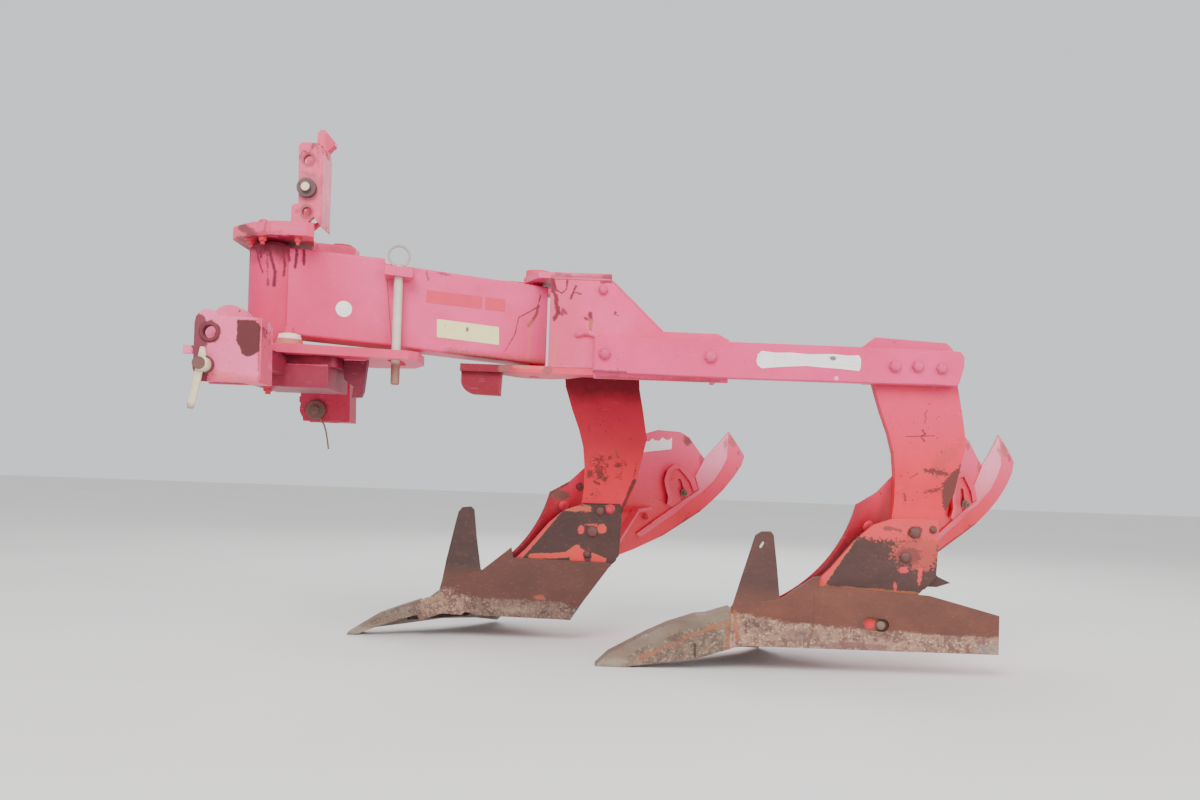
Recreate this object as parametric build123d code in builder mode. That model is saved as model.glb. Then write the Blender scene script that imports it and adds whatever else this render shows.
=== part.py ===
from build123d import *
import os
from math import atan2, cos, degrees, hypot, pi, radians, sin

os.makedirs("parts", exist_ok=True)

# Two-furrow mounted mouldboard plough, right-hand, millimetres.
# +X points rearward, +Y to the ploughed (right) side, +Z up, floor at Z = 0.
# All plan and side coordinates below are taken from a working origin above the
# tip of the rear point; every plane shifts them so that the finished plough's
# box is centred on the origin.

# ---------------------------------------------------------------- driving sizes
X_MID = 207.0            # working X of the box centre
Y_MID = 225.98           # working Y of the box centre
LIFT = 70.0              # landside soles above the floor; the points dip to it

BODY_STEP = 870.0        # front body ahead of the rear one
FURROW = 375.0           # cutting width of one body

P1 = (-905.0, -50.0)    # front pivot of the main beam (plan)
P2 = (-200.0, 102.0)     # rear pivot of the main beam (plan)
TIE = (129.0, 190.0)     # tie bar pivots, measured from P1 and P2 (plan)
T1 = (P1[0] + TIE[0], P1[1] + TIE[1])
T2 = (P2[0] + TIE[0], P2[1] + TIE[1])
BEAM_ANG = degrees(atan2(P2[1] - P1[1], P2[0] - P1[0]))
BEAM_LEN = hypot(P2[0] - P1[0], P2[1] - P1[1])
BEAM_W = 110.0
BEAM_WALL = 9.0

BARREL_R = 67.0
PIVOT_R = 25.0           # front pivot pin
HINGE_R = 14.0           # rear hinge pin
RUN_GAP = 0.06           # radial clearance of a pin in its bore

FLANGE_Z = (1055.0, 1093.0)
SLEW_Z = (746.0, 770.0)
LOWER_Z = (718.0, 746.0)
CROSS_Z = (660.0, 718.0)

HEAD_Y = -98.0           # middle of the three-point hitch
MAST_GAP = 52.0
MAST_T = 14.0
TOP_HOLE_R = 12.75
LINK_HOLE_R = 14.35
LINK_GAP = 50.0          # between the two cheeks of a lower link bracket
LINK_T = 14.0
LINK_SPREAD = 850.0      # over the outer cheeks
CRANK = 20.5             # the cranked cross shaft lifts one side, drops the other

TOP_PLATE_Z = (999.0, 1016.0)
BOTTOM_PLATE_Z = (733.0, 754.0)
PLATE_T = 12.0
FAR_Y = FURROW

BAR_Y = (-30.0, 0.0)
LEG_T = 30.0
FROG_T = 14.0
LANDSIDE_T = 14.0


def side(y):
    """Upright plane along the travel direction, seen from the landside."""
    return Plane(origin=(-X_MID, y - Y_MID, LIFT), x_dir=(1, 0, 0), z_dir=(0, -1, 0))


def deck(z):
    """Level plane, seen from above."""
    return Plane(origin=(-X_MID, -Y_MID, z + LIFT), x_dir=(1, 0, 0), z_dir=(0, 0, 1))


def beam_side(off):
    """Upright plane along the main beam, off to the landside of its axis."""
    a = radians(BEAM_ANG)
    return Plane(
        origin=(P1[0] - X_MID + off * sin(a), P1[1] - Y_MID - off * cos(a), LIFT),
        x_dir=(cos(a), sin(a), 0),
        z_dir=(sin(a), -cos(a), 0),
    )


def along(p, q):
    """Plane at p whose normal points at q (working coordinates)."""
    d = Vector(*q) - Vector(*p)
    return Plane(origin=(p[0] - X_MID, p[1] - Y_MID, p[2] + LIFT), z_dir=(d.X, d.Y, d.Z))


def dist(p, q):
    return (Vector(*q) - Vector(*p)).length


# ================================================================== headstock
# Top flange: six-sided plate over the barrel, with an arm to the tie bar pivot.
FLANGE = [(-1012, -80), (-946, -134), (-884, -155), (-792, -155), (-776, -140), (-802, -50), (-828, 20), (-828, 70), (T1[0] + 45, 112), (T1[0] + 45, 160),
          (T1[0] + 20, 185), (T1[0] - 25, 185), (-1005, 128), (-1012, 60)]
with BuildPart() as top_flange:
    with BuildSketch(deck(FLANGE_Z[0])):
        Polygon(*FLANGE, align=None)
    extrude(amount=FLANGE_Z[1] - FLANGE_Z[0])
    chamfer(top_flange.faces().sort_by(Axis.Z)[-1].edges(), 5)
    with BuildSketch(deck(FLANGE_Z[0] - 10)):
        with Locations(P1):
            Circle(PIVOT_R + 0.15)
        with Locations(T1):
            Circle(16.15)
    extrude(amount=80, mode=Mode.SUBTRACT)
top_flange.part.label = "top_flange"
export_step(top_flange.part, "parts/top_flange.step")

# Column behind the barrel that ties the flange to the plates below.
with BuildPart() as headstock_column:
    with BuildSketch(deck(SLEW_Z[1])):
        Polygon((-1000, 26), (-925, 26), (-925, 122), (-1000, 122), align=None)
    extrude(amount=FLANGE_Z[0] - SLEW_Z[1])
    with BuildSketch(deck(SLEW_Z[1])):
        Polygon((-988, 38), (-937, 38), (-937, 110), (-988, 110), align=None)
    extrude(amount=FLANGE_Z[0] - SLEW_Z[1], mode=Mode.SUBTRACT)
    # lower tie bar lug
    with BuildSketch(deck(964)):
        Polygon((-925, 60), (-860, 80), (T1[0] + 20, T1[1] - 33), (T1[0] + 34, T1[1] - 10), (T1[0] + 26, T1[1] + 24), (T1[0] - 8, T1[1] + 36), (-925, 118), align=None)
    extrude(amount=24)
    with BuildSketch(deck(950)):
        with Locations(T1):
            Circle(16.15)
    extrude(amount=60, mode=Mode.SUBTRACT)
headstock_column.part.label = "headstock_column"
export_step(headstock_column.part, "parts/headstock_column.step")

# Slewing plate under the beam, with the arc of the drop pin cut through it.
PIN_OFF = 78.0                                   # drop pin outside the beam axis
PIN_S = 329.0                                    # drop pin along the beam axis
PIN_ROD_R = 12.0
SWING = (-2.0, 14.0)                             # beam swing about the parked place
a0 = radians(BEAM_ANG)
PIN = (P1[0] + PIN_S * cos(a0) + PIN_OFF * sin(a0), P1[1] + PIN_S * sin(a0) - PIN_OFF * cos(a0))
PIN_RAD = hypot(PIN[0] - P1[0], PIN[1] - P1[1])
PIN_ANG = degrees(atan2(PIN[1] - P1[1], PIN[0] - P1[0]))
with BuildPart() as slewing_plate:
    with BuildSketch(deck(SLEW_Z[0])):
        Polygon((-1004, -40), (-975, -120), (-890, -172), (-800, -168), (-525, -106), (-500, -80), (-505, 30),
                (-545, 110), (-640, 130), (-820, 124), (-1004, 124), align=None)
    extrude(amount=SLEW_Z[1] - SLEW_Z[0])
    fillet(slewing_plate.edges().filter_by(Axis.Z), 12)
    with BuildSketch(deck(SLEW_Z[0] - 10)):
        with Locations(P1):
            Circle(PIVOT_R + 0.15)
    extrude(amount=60, mode=Mode.SUBTRACT)
    with BuildSketch(deck(SLEW_Z[0] - 10)):
        with BuildLine():
            CenterArc(P1, PIN_RAD, PIN_ANG + SWING[0] - 0.8, SWING[1] - SWING[0] + 1.6)
        trace(line_width=2 * (PIN_ROD_R + 6.0))
        with Locations([(P1[0] + PIN_RAD * cos(radians(PIN_ANG + k)), P1[1] + PIN_RAD * sin(radians(PIN_ANG + k))) for k in (-2, 2, 6, 10, 14)]):
            Circle(PIN_ROD_R + 8.0)
    extrude(amount=60, mode=Mode.SUBTRACT)
    # conical stop with its collar and small head on the near front corner
    with BuildSketch(deck(SLEW_Z[1])):
        with Locations((-832, -134)):
            Circle(36)
    extrude(amount=13, taper=14)
    with BuildSketch(deck(SLEW_Z[1] + 13)):
        with Locations((-832, -134)):
            Circle(31)
    extrude(amount=16, taper=12)
    with BuildSketch(deck(SLEW_Z[1] + 29)):
        with Locations((-834, -134)):
            Circle(15)
    extrude(amount=16, taper=8)
slewing_plate.part.label = "slewing_plate"
export_step(slewing_plate.part, "parts/slewing_plate.step")

# Thick lower pivot plate and the block under it, which carry the cross member.
with BuildPart() as lower_pivot_plate:
    with BuildSketch(deck(LOWER_Z[0])):
        Polygon((-930, -122), (-712, -122), (-705, -60), (-705, 60), (-930, 60), align=None)
    extrude(amount=LOWER_Z[1] - LOWER_Z[0])
    fillet(lower_pivot_plate.edges().filter_by(Axis.Z), 20)
    with BuildSketch(deck(LOWER_Z[0] - 10)):
        with Locations(P1):
            Circle(PIVOT_R + 0.15)
    extrude(amount=60, mode=Mode.SUBTRACT)
lower_pivot_plate.part.label = "lower_pivot_plate"
export_step(lower_pivot_plate.part, "parts/lower_pivot_plate.step")

# Cross member: block under the pivot plate with an arm to each lower link bracket.
LINK_OUT = (HEAD_Y - LINK_SPREAD / 2, HEAD_Y + LINK_SPREAD / 2)
LINK_IN = (LINK_OUT[0] + 2 * LINK_T + LINK_GAP, LINK_OUT[1] - 2 * LINK_T - LINK_GAP)
BLOCK_Y = (-136.0, 60.0)
with BuildPart() as cross_member:
    with BuildSketch(side(BLOCK_Y[1])):
        Polygon((-925, CROSS_Z[0]), (-727, CROSS_Z[0]), (-727, CROSS_Z[1]), (-925, CROSS_Z[1]), align=None)
    extrude(amount=BLOCK_Y[1] - BLOCK_Y[0])
    for y0, y1 in ((BLOCK_Y[0], LINK_IN[0]), (LINK_IN[1], BLOCK_Y[1])):
        with BuildSketch(side(y0)):
            Polygon((-908, 692), (-838, 692), (-838, CROSS_Z[1] + 24), (-908, CROSS_Z[1] + 24), align=None)
        extrude(amount=y0 - y1)
    add(lower_pivot_plate.part, mode=Mode.SUBTRACT)
cross_member.part.label = "cross_member"
export_step(cross_member.part, "parts/cross_member.step")

# Stop web with its hooked foot under the slewing plate.
with BuildPart() as stop_web:
    with BuildSketch(side(-49)):
        Polygon((-705, SLEW_Z[0]), (-640, SLEW_Z[0]), (-649, 660), (-655, 644), (-679, 642), (-676, 672), (-701, 690), (-705, 718), align=None)
    extrude(amount=22)
stop_web.part.label = "stop_web"
export_step(stop_web.part, "parts/stop_web.step")

# Mast: two cheeks, a rear web and a foot, with three top link holes.
MAST_IN = MAST_GAP / 2
MAST_OUT = MAST_IN + MAST_T
MAST_X = -797.0
MAST_HOLES = (1260.0, 1183.0, 1122.0)
with BuildPart() as mast:
    for y0 in (HEAD_Y + MAST_OUT, HEAD_Y - MAST_IN):
        with BuildSketch(side(y0)):
            Polygon((-824, 1296), (-815, 1305), (-772, 1305), (-772, 1101), (-779, 1110), (-797, FLANGE_Z[1]), (-838, FLANGE_Z[1]), (-838, 1135), (-832, 1141), (-820, 1143), align=None)
            with Locations([(MAST_X, z) for z in MAST_HOLES]):
                Circle(TOP_HOLE_R, mode=Mode.SUBTRACT)
        extrude(amount=MAST_T)
    with BuildSketch(side(HEAD_Y + MAST_OUT)):
        Polygon((-772, 1300), (-758, 1290), (-758, 1083), (-772, 1101), align=None)
    extrude(amount=2 * MAST_OUT)
    with BuildSketch(side(HEAD_Y + MAST_IN)):
        Polygon((-838, FLANGE_Z[1]), (-799, FLANGE_Z[1]), (-799, FLANGE_Z[1] + 12), (-838, FLANGE_Z[1] + 12), align=None)
    extrude(amount=2 * MAST_IN)
    # latch tab on the rear upper corner
    with BuildSketch(side(HEAD_Y + 12)):
        Polygon((-784, 1305), (-784, 1340), (-774, 1350), (-764, 1348), (-737, 1318), (-737, 1309), (-746, 1302), (-754, 1292), (-757, 1276), (-768, 1276), (-768, 1305), align=None)
    extrude(amount=24)
mast.part.label = "mast"
export_step(mast.part, "parts/mast.step")

with BuildPart() as top_link_pin:
    with BuildSketch(side(HEAD_Y + 62)):
        with Locations((MAST_X, MAST_HOLES[1])):
            Circle(TOP_HOLE_R - 0.15)
    extrude(amount=124)
    with BuildSketch(side(HEAD_Y - MAST_OUT)):
        with Locations((MAST_X, MAST_HOLES[1])):
            Circle(25)
    extrude(amount=14)
    with BuildSketch(side(HEAD_Y + MAST_OUT + 12)):
        with Locations((MAST_X, MAST_HOLES[1])):
            Circle(22)
    extrude(amount=12)
top_link_pin.part.label = "top_link_pin"
export_step(top_link_pin.part, "parts/top_link_pin.step")

# Lower link brackets: two cheeks each, joined by a back plate and a floor.
LINKS = [  # name, outer cheek's outer face Y, sign towards the middle, height change
    ("left_hitch_bracket", LINK_OUT[0], 1, CRANK),
    ("right_hitch_bracket", LINK_OUT[1], -1, -CRANK),
]
HOLE_X, HOLE_Z = -884.0, 722.5
LPIN_X, LPIN_Z = -890.0, 648.5
for name, y_out, s, dz in LINKS:
    with BuildPart() as bracket:
        for k in (0, 1):
            ya = y_out + s * k * (LINK_T + LINK_GAP)
            y0 = max(ya, ya + s * LINK_T)
            with BuildSketch(side(y0)):
                Polygon((-908, 612 + dz), (-767, 612 + dz), (-770, 757 + dz), (-866, 760 + dz), (-871, 769 + dz), (-882, 773 + dz), (-896, 773 + dz),
                        (-907, 767 + dz), (-915, 756 + dz), (-918, 742 + dz), (-918, 660 + dz), align=None)
                with Locations((LPIN_X + 4, LPIN_Z + dz)):
                    Circle(34)
                with Locations((HOLE_X, HOLE_Z + dz)):
                    Circle(LINK_HOLE_R, mode=Mode.SUBTRACT)
                with Locations((LPIN_X, LPIN_Z + dz)):
                    Circle(LINK_HOLE_R, mode=Mode.SUBTRACT)
            extrude(amount=LINK_T)
        ym = y_out + s * LINK_T
        with BuildSketch(side(max(ym, ym + s * LINK_GAP))):
            Polygon((-812, 612 + dz), (-767, 612 + dz), (-770, 757 + dz), (-812, 757 + dz), align=None)
        extrude(amount=LINK_GAP)
        # square stop lug on the outer cheek
        with BuildSketch(side(max(y_out, y_out + s * LINK_T))):
            Polygon((-942, 673 + dz), (-905, 673 + dz), (-905, 691 + dz), (-942, 691 + dz), align=None)
        extrude(amount=LINK_T)
        # hub of the cranked shaft on the inner cheek
        yi = y_out + s * (2 * LINK_T + LINK_GAP)
        with BuildSketch(side(max(yi, yi + s * 50))):
            with Locations((-870, 755.5 + dz)):
                Circle(42)
        extrude(amount=50)
        add(cross_member.part, mode=Mode.SUBTRACT)
    bracket.part.label = name
    export_step(bracket.part, "parts/" + name + ".step")

with BuildPart() as hitch_pins:
    for name, y_out, s, dz in LINKS:
        ya = y_out - s * 40
        yb = y_out + s * (2 * LINK_T + LINK_GAP)
        with BuildSketch(side(max(ya, yb))):
            with Locations((LPIN_X, LPIN_Z + dz)):
                Circle(LINK_HOLE_R - 0.2)
        extrude(amount=abs(yb - ya))
        yc = y_out
        yd = y_out - s * 14
        with BuildSketch(side(max(yc, yd))):
            with Locations((LPIN_X, LPIN_Z + dz)):
                Circle(26 if s < 0 else 20)
        extrude(amount=14)
hitch_pins.part.label = "hitch_pins"
export_step(hitch_pins.part, "parts/hitch_pins.step")

with BuildPart() as front_pivot_pin:
    with BuildSketch(deck(LOWER_Z[0])):
        with Locations(P1):
            Circle(PIVOT_R)
    extrude(amount=FLANGE_Z[1] - LOWER_Z[0])
    with BuildSketch(deck(FLANGE_Z[1])):
        with Locations(P1):
            Circle(34)
    extrude(amount=12)
front_pivot_pin.part.label = "front_pivot_pin"
export_step(front_pivot_pin.part, "parts/front_pivot_pin.step")

# ================================================================== main beam
# Side outline of the two box sections: distance along the axis and height.
BEAM_FRONT = [(40, 1038), (291, 1029), (317, 790), (40, 803)]
BEAM_REAR = [(291, 1017), (745, 986), (745, 763), (317, 789)]
with BuildPart() as front_barrel:
    with BuildSketch(deck(778)):
        with Locations(P1):
            Circle(BARREL_R)
            Circle(PIVOT_R + RUN_GAP, mode=Mode.SUBTRACT)
    extrude(amount=1040 - 778)
front_barrel.part.label = "front_barrel"
export_step(front_barrel.part, "parts/front_barrel.step")

with BuildPart() as beam_box:
    with BuildSketch(beam_side(-BEAM_W / 2)):
        Polygon(*BEAM_FRONT, align=None)
    extrude(amount=BEAM_W)
    fillet(beam_box.edges().filter_by(lambda e: e.length > 240 and abs(e.tangent_at(0.5).Z) < 0.3), 8)

with BuildPart() as main_beam:
    with BuildSketch(beam_side(-BEAM_W / 2 + 4)):
        Polygon(*BEAM_REAR, align=None)
    extrude(amount=BEAM_W - 8)
    fillet(main_beam.edges().filter_by(lambda e: e.length > 400 and abs(e.tangent_at(0.5).Z) < 0.3), 8)
    add(beam_box.part)
    # hollow inside, open only towards the barrel
    with BuildSketch(beam_side(-BEAM_W / 2 + 13)):
        Polygon((30, 1026), (278, 1017), (291, 1005), (690, 977), (690, 779), (317, 801), (30, 815), align=None)
    extrude(amount=BEAM_W - 26, mode=Mode.SUBTRACT)
    with BuildSketch(deck(700)):
        with Locations(P1):
            Circle(BARREL_R)
        with Locations(P2):
            Circle(HINGE_R + RUN_GAP)
    extrude(amount=400, mode=Mode.SUBTRACT)
main_beam.part.label = "main_beam"
export_step(main_beam.part, "parts/main_beam.step")

# Ear that guides the drop pin, and the pin with its lifting ring.
with BuildPart() as pin_ear:
    with BuildSketch(beam_side(PIN_OFF + 22)):
        Polygon((PIN_S - 37, 976), (PIN_S + 37, 972), (PIN_S + 37, 998), (PIN_S - 37, 1001), align=None)
    extrude(amount=-(PIN_OFF + 22 - BEAM_W / 2))
    add(main_beam.part, mode=Mode.SUBTRACT)
    with BuildSketch(deck(900)):
        with Locations(PIN):
            Circle(PIN_ROD_R + 0.2)
    extrude(amount=120, mode=Mode.SUBTRACT)
pin_ear.part.label = "pin_ear"
export_step(pin_ear.part, "parts/pin_ear.step")

with BuildPart() as drop_pin:
    with BuildSketch(deck(682)):
        with Locations(PIN):
            Circle(PIN_ROD_R)
    extrude(amount=1008 - 682)
    chamfer(drop_pin.faces().sort_by(Axis.Z)[0].edges(), 3)
    with BuildSketch(beam_side(PIN_OFF + 3)):
        with Locations((PIN_S, 1032)):
            Circle(31)
            Circle(25, mode=Mode.SUBTRACT)
    extrude(amount=-6)
drop_pin.part.label = "drop_pin"
export_step(drop_pin.part, "parts/drop_pin.step")

# ================================================================== tie bar
with BuildPart() as tie_bar:
    with BuildSketch(deck(1000)):
        with BuildLine():
            Line(T1, T2)
        trace(line_width=50)
        with Locations(T1, T2):
            Circle(32)
        with Locations(T1, T2):
            Circle(16 + RUN_GAP, mode=Mode.SUBTRACT)
    extrude(amount=32)
tie_bar.part.label = "tie_bar"
export_step(tie_bar.part, "parts/tie_bar.step")

# ================================================================== rear frame
with BuildPart() as hinge_top_plate:
    with BuildSketch(deck(TOP_PLATE_Z[0])):
        Polygon((-190, 0), (14, 0), (14, 240), (-50, 215), (-130, 165), (-200, 142), (-240, 102), (-232, 76), align=None)
        with Locations(P2):
            Circle(40)
            Circle(HINGE_R + 0.15, mode=Mode.SUBTRACT)
    extrude(amount=TOP_PLATE_Z[1] - TOP_PLATE_Z[0])
hinge_top_plate.part.label = "hinge_top_plate"
export_step(hinge_top_plate.part, "parts/hinge_top_plate.step")

with BuildPart() as bottom_plate:
    with BuildSketch(deck(BOTTOM_PLATE_Z[0])):
        Polygon((-400, 0), (-28, 0), (-28, PLATE_T), (345, PLATE_T), (345, 60), (-60, 60), (-100, 120), (-150, 150), (-225, 150), (-250, 130),
                (-285, 84), (-400, 80), align=None)
        with Locations(P2):
            Circle(HINGE_R + 0.15, mode=Mode.SUBTRACT)
    extrude(amount=BOTTOM_PLATE_Z[1] - BOTTOM_PLATE_Z[0])
bottom_plate.part.label = "bottom_plate"
export_step(bottom_plate.part, "parts/bottom_plate.step")

with BuildPart() as adjuster_lug:
    with BuildSketch(side(46)):
        with BuildLine():
            Polyline((-288, 669), (-285, 733), (-398, 733), (-398, 704))
            ThreePointArc((-398, 704), (-386, 682), (-360, 671))
            Line((-360, 671), (-288, 669))
        make_face()
    extrude(amount=32)
adjuster_lug.part.label = "adjuster_lug"
export_step(adjuster_lug.part, "parts/adjuster_lug.step")

with BuildPart() as frame_near_plate:
    with BuildSketch(side(PLATE_T)):
        Polygon((-156, BOTTOM_PLATE_Z[1]), (-156, TOP_PLATE_Z[0]), (14, TOP_PLATE_Z[0]), (161, 861), (313, 860), (345, 843), (345, 725), (-28, 725), (-28, BOTTOM_PLATE_Z[1]), align=None)
    extrude(amount=PLATE_T)
frame_near_plate.part.label = "frame_near_plate"
export_step(frame_near_plate.part, "parts/frame_near_plate.step")

with BuildPart() as frame_far_plate:
    with BuildSketch(side(FAR_Y)):
        Polygon((-150, 765), (-150, 970), (30, 970), (156, 848), (345, 836), (345, 765), align=None)
    extrude(amount=20)
    # lug for the tie bar
    with BuildSketch(deck(964)):
        Polygon((-112, 275), (-96, 258), (-40, 258), (30, 300), (30, FAR_Y), (-150, FAR_Y), (-150, 325), align=None)
    extrude(amount=24)
    with BuildSketch(deck(900)):
        with Locations(T2):
            Circle(16.15)
    extrude(amount=120, mode=Mode.SUBTRACT)
frame_far_plate.part.label = "frame_far_plate"
export_step(frame_far_plate.part, "parts/frame_far_plate.step")

with BuildPart() as frame_back_plate:
    with BuildSketch(side(FAR_Y - 20)):
        Polygon((14, TOP_PLATE_Z[0]), (161, 861), (345, 848), (345, BOTTOM_PLATE_Z[1]), (333, BOTTOM_PLATE_Z[1]), (333, 837), (156, 849), (-3, TOP_PLATE_Z[0]), align=None)
    extrude(amount=FAR_Y - 20 - PLATE_T)
    add(frame_far_plate.part, mode=Mode.SUBTRACT)
frame_back_plate.part.label = "frame_back_plate"
export_step(frame_back_plate.part, "parts/frame_back_plate.step")

# Box tube that ties the near plate to the far one.
with BuildPart() as cross_tube:
    with BuildSketch(side(FAR_Y - 20)):
        Polygon((-98, 768), (100, 768), (100, 852), (-98, 852), align=None)
        Polygon((-90, 776), (92, 776), (92, 844), (-90, 844), align=None, mode=Mode.SUBTRACT)
    extrude(amount=FAR_Y - 20 - PLATE_T)
cross_tube.part.label = "cross_tube"
export_step(cross_tube.part, "parts/cross_tube.step")

with BuildPart() as hinge_pins:
    with BuildSketch(deck(BOTTOM_PLATE_Z[0] - 2)):
        with Locations(P2):
            Circle(HINGE_R)
    extrude(amount=TOP_PLATE_Z[1] - BOTTOM_PLATE_Z[0] + 2)
    with BuildSketch(deck(TOP_PLATE_Z[1])):
        with Locations(P2):
            Circle(34)
    extrude(amount=20)
    with BuildSketch(deck(950)):
        with Locations(T2):
            Circle(16)
    extrude(amount=88)
    with BuildSketch(deck(1038)):
        with Locations(T2):
            Circle(25)
    extrude(amount=10)
hinge_pins.part.label = "hinge_pins"
export_step(hinge_pins.part, "parts/hinge_pins.step")

with BuildPart() as tie_front_pin:
    with BuildSketch(deck(950)):
        with Locations(T1):
            Circle(16)
    extrude(amount=FLANGE_Z[1] - 950)
    with BuildSketch(deck(FLANGE_Z[1])):
        with Locations(T1):
            Circle(29)
    extrude(amount=8)
tie_front_pin.part.label = "tie_front_pin"
export_step(tie_front_pin.part, "parts/tie_front_pin.step")

# Flat carrying bar to the rear leg.
with BuildPart() as carrying_bar:
    with BuildSketch(side(BAR_Y[1])):
        Polygon((-28, 739), (-28, 838), (345, 835), (949, 832), (980, 829), (990, 815), (990, 790), (978, 742), (970, 735), (345, 735), align=None)
    extrude(amount=BAR_Y[1] - BAR_Y[0])
    chamfer(carrying_bar.faces().sort_by(Axis.Y)[0].edges(), 2)
carrying_bar.part.label = "carrying_bar"
export_step(carrying_bar.part, "parts/carrying_bar.step")

# ================================================================== plough bodies
# Side outlines, seen from the landside, from a body's own working origin.
LEG = [(742, 826), (751, 735), (774, 663), (798, 600), (813, 545), (819, 485), (819, 409), (806, 300), (790, 170),
       (915, 170), (925, 290), (955, 371), (985, 440), (1001, 518), (1014, 578), (998, 671), (985, 735), (980, 826)]
FROG = [(390, 10), (390, 84), (541, 146), (600, 176), (645, 221), (714, 305), (760, 345), (816, 365), (940, 365), (942, 304), (938, 206), (914, 178), (902, 170), (835, 92), (790, 30), (650, 12)]
FIN_REAR = [(378, 112), (400, 190), (427, 282), (434, 306), (450, 317), (475, 318), (483, 308), (494, 230), (505, 138), (512, 134)]
FIN_FRONT = [(385, 112), (396, 176), (420, 288), (429, 328), (441, 343), (468, 346), (478, 336), (488, 250), (504, 150), (508, 147)]
LANDSIDE_REAR = [(372, -10), (372, 103), (378, 112), (512, 134), (541, 156), (598, 196), (617, 199), (606, 172), (794, 162), (921, 155), (1013, 132), (1111, 107), (1112, 0), (398, 0)]
LANDSIDE_FRONT = [(312, -6), (312, 45), (374, 67), (385, 112), (508, 147), (598, 222), (606, 190), (905, 184), (914, 178), (831, 61), (792, 0), (492, 5), (477, 11), (459, 15), (450, 4), (388, 7), (320, -18)]
POINT_REAR = [(3, -70), (38, -35), (83, -10), (137, 21), (203, 53), (278, 79), (307, 82), (372, 103), (372, -10), (282, -39), (198, -52), (81, -70)]
POINT_FRONT = [(91, -68), (100, -56), (181, -4), (248, 22), (312, 45), (312, 0), (260, -15), (212, -32), (150, -56), (126, -67), (95, -70)]

# Share: flat plate in a plane that rises 35 degrees behind its cutting edge,
# which runs 40 degrees off the travel direction. u climbs, v follows the edge.
EDGE_ANG, RISE = 40.0, 35.0
SHARE = [(22, 67), (34, 200), (36, 330), (28, 470), (0, 575), (145, 575), (339.5, 331.3), (178, 174), (138, 202)]
SADDLE = [(70, 170), (70, 400), (120, 420), (318, 320), (200, 196)]
SHARE_WORN = [(22, 67), (38, 200), (56, 330), (40, 470), (8, 575), (145, 575), (339.5, 331.3), (232, 226), (138, 202)]
SADDLE_WORN = [(92, 176), (92, 400), (130, 420), (318, 320), (200, 196)]
# Mouldboard: upright arcs at stations across the furrow.
ARCS = [  # y, bottom x, bottom z, middle x, middle z, top x, top z
    (0, 490, 128, 652, 268, 718, 430),
    (150, 536, 68, 800, 225, 945, 600),
    (288, 578, 13, 905, 190, 1055, 680),
    (400, 760, 40, 1045, 240, 1140, 700),
    (480, 985, 152, 1200, 330, 1185, 680),
    (640, 1220, 280, 1412, 455, 1345, 700),
]
BOARD_EDGE = [(440, 90), (578, -12), (925, 176), (1001, 203), (1104, 250), (1189, 305), (1242, 340), (1285, 378), (1330, 422), (1376, 476), (1406, 518), (1419, 555),
              (1352, 645), (1250, 536), (1188, 608), (1152, 625), (1064, 624), (1015, 606), (900, 552), (830, 492), (773, 436), (715, 402), (440, 402)]
# Raised plate on the back, between the fold line and the inner edge.
STRIP_EDGE = [(1018, 246), (1093, 298), (1155, 341), (1198, 380), (1236, 404), (1290, 455), (1321, 501), (1342, 541), (1346, 600), (1350, 640), (1252, 537),
              (1216, 468), (1233, 420), (1180, 386), (1135, 354), (1072, 310), (1003, 260)]
# Slotted bracket on the back, with a raised rim along its outer side.
BRACKET_EDGE = [(1128, 508), (1104, 488), (1094, 450), (1104, 415), (1113, 392), (1108, 366), (1131, 356), (1178, 388), (1230, 422), (1213, 466), (1186, 486), (1170, 500), (1150, 508)]
BRACKET_RIM = [(1150, 508), (1170, 500), (1186, 486), (1212, 463), (1228, 424), (1212, 412), (1196, 448), (1172, 474), (1150, 494), (1128, 492), (1116, 478), (1110, 450), (1119, 418), (1128, 394), (1124, 366), (1110, 366),
               (1113, 392), (1104, 415), (1094, 450), (1104, 488), (1128, 508)]
# Foot of the frog behind the landside, seen from the landside.
FOOT_REAR = [(900, 178), (946, 178), (984, 191), (948, 207), (938, 216), (900, 216)]
FOOT_FRONT = [(900, 178), (918, 178), (930, 190), (932, 216), (900, 216)]
BODIES = [  # name, behind the working origin, to the right of it, landside, point, fin
    ("rear", 0.0, 0.0, LANDSIDE_REAR, POINT_REAR, FIN_REAR),
    ("front", -BODY_STEP, FURROW, LANDSIDE_FRONT, POINT_FRONT, FIN_FRONT),
]
# Pieces shaped like the board's back: name, outline, nearest and farthest face behind the board's front
SHELLS = [
    ("strip", STRIP_EDGE, 9.3, 15.0),
    ("bracket", BRACKET_EDGE, 9.3, 20.0),
    ("bracket_rim", BRACKET_RIM, 20.3, 30.0),
]


def shifted(pts, dx):
    return [(x + dx, z) for x, z in pts]


def circle_of(b, m, t):
    """Centre and radius of the circle through three points."""
    ax, ay, bx, by, cx, cy = b[0], b[1], m[0], m[1], t[0], t[1]
    d = 2 * (ax * (by - cy) + bx * (cy - ay) + cx * (ay - by))
    ux = ((ax**2 + ay**2) * (by - cy) + (bx**2 + by**2) * (cy - ay) + (cx**2 + cy**2) * (ay - by)) / d
    uy = ((ax**2 + ay**2) * (cx - bx) + (bx**2 + by**2) * (ax - cx) + (cx**2 + cy**2) * (bx - ax)) / d
    return (ux, uy), hypot(ax - ux, ay - uy)


def pushed(p, c, r, t):
    k = (r + t) / r
    return (c[0] + (p[0] - c[0]) * k, c[1] + (p[1] - c[1]) * k)


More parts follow.
